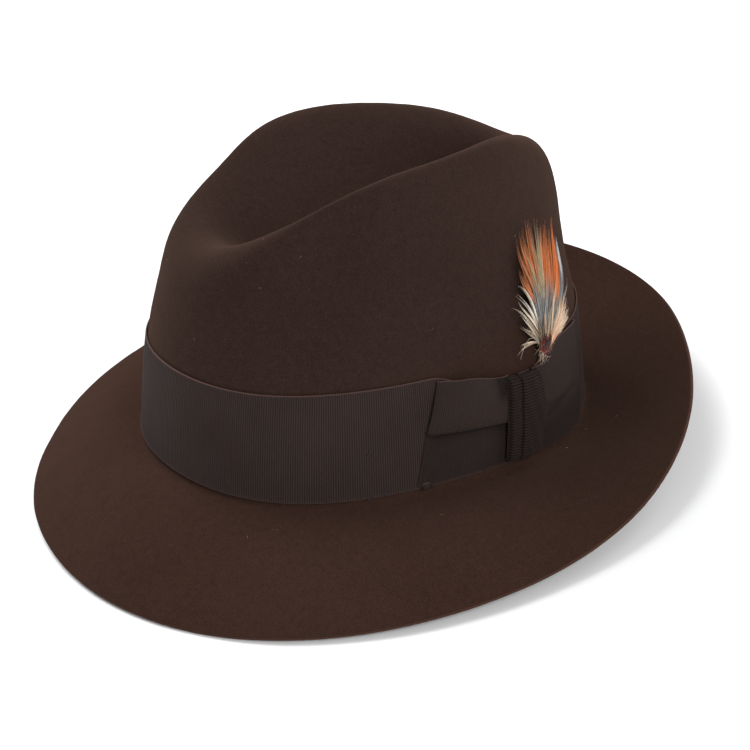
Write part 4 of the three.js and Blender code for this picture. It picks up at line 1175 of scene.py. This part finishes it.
def ring_sheet(name, prof_h, prof_d, mat, ncol, thick, replaces, dfun=None, hfun=None, uvscale=1.0):
    """A closed band round the inside: prof_h, prof_d describe the visible (inner) face from bottom to top."""
    ph = TAU * np.arange(ncol) / ncol
    PH, K = np.meshgrid(ph, np.arange(len(prof_h)), indexing="xy")
    H = np.asarray(prof_h, float)[K]
    D = np.asarray(prof_d, float)[K]
    if hfun is not None:
        H = hfun(PH, H)
    if dfun is not None:
        D = D + dfun(PH, H)
    inner = wall(PH, H, D).reshape(-1, 3)
    outer = wall(PH, H, D + thick).reshape(-1, 3)
    nr, n = len(prof_h), len(prof_h) * ncol
    F = grid_faces(nr, ncol, wrap_c=True, flip=True) + grid_faces(nr, ncol, wrap_c=True, base=n)
    for c in range(ncol):
        c2 = (c + 1) % ncol
        F.append([c, c2, n + c2, n + c])
        a, b = (nr - 1) * ncol + c, (nr - 1) * ncol + c2
        F.append([b, a, n + a, n + b])
    u = s_of_ph(PH)
    uv = np.stack([u.ravel() * uvscale, H.ravel()], 1)
    return make(name, np.concatenate([inner, outer]), F, mat, uv=np.concatenate([uv, uv]),
                attrs={"selv": np.zeros(2 * n), "painted_recess_shade": np.zeros(2 * n)}, replaces=replaces)


NI = 720 if HI else 360
# leather sweatband with a rolled lower edge, a pressed line above the seam and a soft top edge
lh = [3.4, 3.45, 3.6, 4.0, 4.6, 5.2, 5.8, 6.6, 7.2, 8.0, 9.0, 12, 16, 20, 25, 30, 35, 40, 44, 47, 48.6, 49.3, 49.7, 49.9, 50.0]
ld = [-3.55, -3.8, -3.95, -4.05, -4.0, -3.9, -3.98, -4.06, -3.9, -4.05, -4.08, -4.1, -4.15, -4.15, -4.15, -4.12, -4.1, -4.1, -4.12, -4.15, -4.15, -4.1, -4.0, -3.85, -3.6]
ring_sheet("sweatband_leather_strip", lh, ld, M_LEATHER, NI, 0.75, ("sweatband",),
           dfun=lambda p, h: -0.16 * np.sin(9 * p + 1.3) * np.clip((h - 20) / 30, 0, 1) - 0.06 * np.sin(31 * p) * np.clip((h - 30) / 20, 0, 1))
# stitches along the lower edge: each a short raised thread
st = []
for k in range(int(150 if HI else 90)):
    s_a = k * GIRTH / (150 if HI else 90)
    t = np.linspace(0, 1, 7)
    st.append(wall(ph_of_s(s_a + 2.9 * t), 5.2 + 0.0 * t, -4.12 - 0.28 * np.sin(math.pi * t)))
tubes("sweatband_lower_stitches", st, [0.2] * len(st), M_STITCH, sides=6, replaces=("sweatband_thread",))
# reed inside its folded tape
pr = TAU * np.arange(NI) / NI
tubes("reed_rod", [wall(pr, 1.2, -3.5)], [0.36], M_REED, sides=10, closed=True, replaces=("sweatband_reed",))
th_ = [9.8, 8, 6, 4, 2.4, 1.2, 0.45, 0.12, 0.18, 0.6, 1.1, 1.6]
td_ = [-2.62, -2.6, -2.5, -2.4, -2.34, -2.36, -2.7, -3.25, -3.8, -4.3, -4.55, -4.6]
ring_sheet("reed_tape_fold", th_, td_, M_TAPE, NI, 0.22, ("reed_tape",))
# little bow at the back of the sweatband, with two loops, two tails and a knot
def loop(sgn):
    t = np.linspace(0, 1, 40)
    a = 0.6 + 8.2 * np.sin(math.pi * t) ** 0.9
    hh = 10.6 + 2.5 * np.sin(TAU * t) * (0.4 + 0.6 * np.sin(math.pi * t))
    dd = -4.75 - 0.35 * np.sin(math.pi * t)
    return math.pi / 2 * 0 + s_of_ph(math.pi / 2) + sgn * a, hh, dd


def ribbon_path(name, s, h, d, w, mat=M_TAPE, replaces=(), slot="ribbon"):
    s, h, d = [np.asarray(v, float) for v in (s, h, d)]
    ts, th2 = np.gradient(s), np.gradient(h)
    L = np.hypot(ts, th2) + 1e-9
    ns, nh = -th2 / L, ts / L
    rows = []
    for q in np.linspace(-1, 1, 7):
        bead = 0.05 * (abs(q) > 0.9)
        rows.append(wall(ph_of_s(s + ns * w / 2 * q), h + nh * w / 2 * q, d - bead))
    G = np.array(rows)
    nr, nc = G.shape[:2]
    G2 = np.array([wall(ph_of_s(s + ns * w / 2 * q), h + nh * w / 2 * q, d + 0.16) for q in np.linspace(-1, 1, 7)])
    n = nr * nc
    F = grid_faces(nr, nc, flip=True) + grid_faces(nr, nc, base=n)
    lp = [r * nc for r in range(nr)] + [(nr - 1) * nc + c for c in range(1, nc)] + [r * nc + nc - 1 for r in range(nr - 2, -1, -1)] + [c for c in range(nc - 2, 0, -1)]
    for i in range(len(lp)):
        a, b = lp[i], lp[(i + 1) % len(lp)]
        F.append([b, a, a + n, b + n])
    al = np.concatenate([[0], np.cumsum(np.hypot(np.diff(s), np.diff(h)))])
    uv = np.stack([np.tile(al, nr), np.repeat(np.linspace(0, w, nr), nc)], 1)
    return make(name, np.concatenate([G.reshape(-1, 3), G2.reshape(-1, 3)]), F, mat, uv=np.concatenate([uv, uv]),
                attrs={"selv": np.zeros(2 * n), "painted_recess_shade": np.zeros(2 * n)}, replaces=replaces)


for sgn, nm in ((1, "left"), (-1, "right")):
    ribbon_path("sweatband_bow_loop_" + nm, *loop(sgn), 1.5, replaces=("sweatband_bow",) if sgn == 1 else ())
    t = np.linspace(0, 1, 20)
    ribbon_path("sweatband_bow_tail_" + nm, s_of_ph(math.pi / 2) + sgn * (0.4 + 6.0 * t), 10.0 - 2.0 * t ** 1.3, -4.62 - 0.15 * np.sin(3 * t), 1.3)
t = np.linspace(0, 1, 14)
ribbon_path("sweatband_bow_knot", s_of_ph(math.pi / 2) + 0 * t, 9.2 + 2.4 * t, -5.0 - 0.25 * np.sin(math.pi * t), 1.8)
# blank size tag tucked under the sweatband's seam, with folded lower edge
tag_s0 = float(s_of_ph(math.radians(100.0)))
UU, VV = np.meshgrid(np.linspace(0, 15.5, 32), np.linspace(0, 8.6, 18), indexing="xy")
dd = -4.33 - 0.18 * np.sin(UU / 15.5 * math.pi) * np.sin(VV / 8.6 * math.pi) - 0.1 * (VV < 0.6)
Gt = wall(ph_of_s(tag_s0 + UU), 18.2 + VV, dd).reshape(-1, 3)
Gb = wall(ph_of_s(tag_s0 + UU), 18.2 + VV, dd + 0.14).reshape(-1, 3)
nrt, nct = UU.shape
Ft = grid_faces(nrt, nct, flip=True) + grid_faces(nrt, nct, base=nrt * nct)
lp = [r * nct for r in range(nrt)] + [(nrt - 1) * nct + c for c in range(1, nct)] + [r * nct + nct - 1 for r in range(nrt - 2, -1, -1)] + [c for c in range(nct - 2, 0, -1)]
for i in range(len(lp)):
    a, b = lp[i], lp[(i + 1) % len(lp)]
    Ft.append([b, a, a + nrt * nct, b + nrt * nct])
make("size_tag_blank", np.concatenate([Gt, Gb]), Ft, M_TAG, replaces=("size_tag",))

# lining: gathered satin side, piping and an oval tip that dips with the dent
NL = 640 if HI else 320


def side_h(p, h):
    f = (h - 16) / (100 - 16)
    return 16 + (seam_h(p) - 0.2 - 16) * f


def gather(p, h):
    f = np.clip((h - 30) / 50, 0, 1)
    return -0.26 * np.sin(46 * p + 1.2 * np.sin(3 * p)) * f * (1 - 0.3 * np.sin(19 * p)) - 0.10 * np.sin(113 * p) * f


hs = np.linspace(16, 100, 26)
ds = np.interp(16 + (80 - 16) * (hs - 16) / 84, [16, 42, 53, 66, 80], [-2.7, -2.7, -2.85, -3.4, -3.9])
ring_sheet("lining_side_satin", hs, ds, M_SATIN, NL, 0.3, ("lining_side",), dfun=gather, hfun=side_h)
pp = TAU * np.arange(NL) / NL
tubes("lining_seam_piping", [wall(pp, seam_h(pp) - 1.8, -4.65 - 0.06 * np.sin(160 * pp))], [0.55], M_PIPE, sides=10, closed=True, replaces=("lining_piping",))
K = 40
ptip = TAU * np.arange(NL) / NL
sn = np.sin(ptip)
Arim = wall(ptip, seam_h(ptip) + 0.9, -4.4)
Bc = np.stack([0 * sn, 1.77 + 46.89 * sn * 0.9, 88.68 + 7.83 * sn * 0.9 + 0.23 * sn * sn - 5.5], -1)
rows = []
for k in range(K + 1):
    f = k / K
    p = Arim * (1 - f) + Bc * f
    # small gathers that die out away from the seam, and a soft sag
    p[:, 2] += 1.2 * math.sin(math.pi * f) - 0.25 * np.sin(46 * ptip) * (1 - f) ** 3 * min(1, f * 12) - 0.5
    rows.append(p)
G1 = np.array(rows)
G2 = G1.copy()
G2[..., 2] += 0.25
n = G1.shape[0] * NL
Ft = grid_faces(K + 1, NL, wrap_c=True, flip=True) + grid_faces(K + 1, NL, wrap_c=True, base=n)
for c in range(NL):
    c2 = (c + 1) % NL
    Ft.append([c, c2, n + c2, n + c])
uvt = G1.reshape(-1, 3)[:, :2]
make("lining_tip_satin", np.concatenate([G1.reshape(-1, 3), G2.reshape(-1, 3)]), Ft, M_SATIN, uv=np.concatenate([uvt, uvt]), replaces=("lining_tip",))

# stray lint and a curled hair on the felt
lint, lint_brim = [], []
r_ = np.random.default_rng(77)
for k in range(26):
    p0, u0 = r_.uniform(0, TAU), r_.uniform(0.1, 0.95)
    t = np.linspace(0, 1, 6)
    L = r_.uniform(0.5, 1.5) / 60
    P0 = brim(np.full(6, p0) + L * 0.5 * np.cos(k) * t, u0 * FILLET / 55 + u0 * (1 - FILLET / 55) * 0.9 + L * np.sin(k) * t)
    P0[:, 2] += 0.14 + 0.1 * np.sin(3 * t + k)
    if P0[:, 1].min() > -98:
        lint.append(P0)
    elif P0[:, 1].max() < -142:
        lint_brim.append(P0)
for k in range(20):
    p0, t0 = r_.uniform(0, TAU), r_.uniform(0.24, 0.62)
    t = np.linspace(0, 1, 6)
    P0 = crown(p0 + 0.012 * np.cos(k) * t, t0 + 0.006 * np.sin(k) * t)
    nn = oval_n(np.full(6, p0))
    P0[:, 0] += nn[:, 0] * 0.14
    P0[:, 1] += nn[:, 1] * 0.14
    P0[:, 2] += 0.1
    lint.append(P0)
tubes("lint_specks", lint, [0.042] * len(lint), M_LINT, sides=4)
if lint_brim:
    tubes("lint_specks_brim", lint_brim, [0.042] * len(lint_brim), M_LINT, sides=4, body="brim")
t = np.linspace(0, 1, 40)
hair = brim(math.radians(-99.0) + 0.04 * np.cos(5.5 * t) * (1 - 0.4 * t), 0.72 + 0.07 * np.sin(5.5 * t))
hair[:, 2] += 0.16
tubes("curled_hair", [hair], [0.05], M_LINT, sides=5, body="brim")


# ------------------------------------------------------------------ camera (the photograph's viewing angle)
def set_camera():
    az, el, ro, tau = [math.radians(v) for v in (61.961, 28.861, -0.1225, 0.4814)]
    dist, px_mm, tx, tz = 715.84, 2.1617, 3.5995, 12.9282
    back = np.array([math.sin(az) * math.cos(el), -math.cos(az) * math.cos(el), math.sin(el)])
    right = np.array([math.cos(az), math.sin(az), 0.0])
    up = np.cross(back, right)
    r2 = right * math.cos(ro) + up * math.sin(ro)
    u2 = -right * math.sin(ro) + up * math.cos(ro)
    C = right * tx + np.array([0, 0, tz]) + back * dist
    # undo the small lean of the hat in the picture
    R = np.array([[1, 0, 0], [0, math.cos(tau), math.sin(tau)], [0, -math.sin(tau), math.cos(tau)]])
    C, r2, u2, back = [R.T @ v for v in (C, r2, u2, back)]
    loc = rest(C)
    r3, u3, b3 = rest_dir(r2), rest_dir(u2), rest_dir(back)
    from mathutils import Matrix
    cd = bpy.data.cameras.new("camera")
    cd.sensor_width = 36
    cd.sensor_fit = "HORIZONTAL"
    cd.lens = 36 * px_mm * dist / 750
    cd.clip_start, cd.clip_end = 0.01, 50
    co = bpy.data.objects.new("camera", cd)
    M = Matrix([[r3[0], u3[0], b3[0], loc[0]], [r3[1], u3[1], b3[1], loc[1]], [r3[2], u3[2], b3[2], loc[2]], [0, 0, 0, 1]])
    co.matrix_world = M
    bpy.context.scene.collection.objects.link(co)
    bpy.context.scene.camera = co
    return loc, r3, u3, b3


CAM, CR, CU, CB = set_camera()


def area(name, direction, dist, size, power, colour=(1, 1, 1), target=(0, 0, 0.07)):
    from mathutils import Vector
    d = Vector(direction).normalized()
    ld = bpy.data.lights.new(name, "AREA")
    ld.shape = "RECTANGLE"
    ld.size, ld.size_y = size
    ld.energy = power
    ld.color = colour
    lo = bpy.data.objects.new(name, ld)
    lo.location = Vector(target) + d * dist
    lo.rotation_euler = (-d).to_track_quat("-Z", "Y").to_euler()
    bpy.context.scene.collection.objects.link(lo)


LEFT = -CR / np.linalg.norm(CR)
HB = np.array([CB[0], CB[1], 0.0])
HB /= np.linalg.norm(HB)  # level, toward the camera
ZUP = np.array([0.0, 0.0, 1.0])
area("key_left", LEFT * 0.6 + ZUP * 1.1 - HB * 0.6, 1.6, (1.2, 1.2), 31)
area("rim_right", -LEFT * 1.0 + ZUP * 0.75 - HB * 0.7, 1.4, (0.5, 0.9), 4)
area("right_fill", HB * 0.8 - LEFT * 0.6 + ZUP * 0.7, 1.6, (0.9, 0.9), 17)

world = bpy.data.worlds.new("studio")
bpy.context.scene.world = world
world.use_nodes = True
wb = world.node_tree.nodes["Background"]
wb.inputs[0].default_value = (0.95, 0.96, 0.98, 1)
wb.inputs[1].default_value = 0.4

# pale floor
fm, fnt, fb = new_mat("pale_floor", 0.85, 0.2)
fcol = ramp(fnt, noise(fnt, 3, 3, 0.5), [(0.3, (0.86, 0.86, 0.86)), (0.7, (0.89, 0.89, 0.89))])
fnt.links.new(fcol, fb.inputs["Base Color"])
floor_me = bpy.data.meshes.new("floor")
floor_me.from_pydata([(-4, -4, 0), (4, -4, 0), (4, 4, 0), (-4, 4, 0)], [], [(0, 1, 2, 3)])
floor_me.materials.append(fm)
floor = bpy.data.objects.new("floor", floor_me)
bpy.context.scene.collection.objects.link(floor)

bpy.context.scene.view_settings.view_transform = "Standard"
bpy.context.scene.view_settings.look = "None"
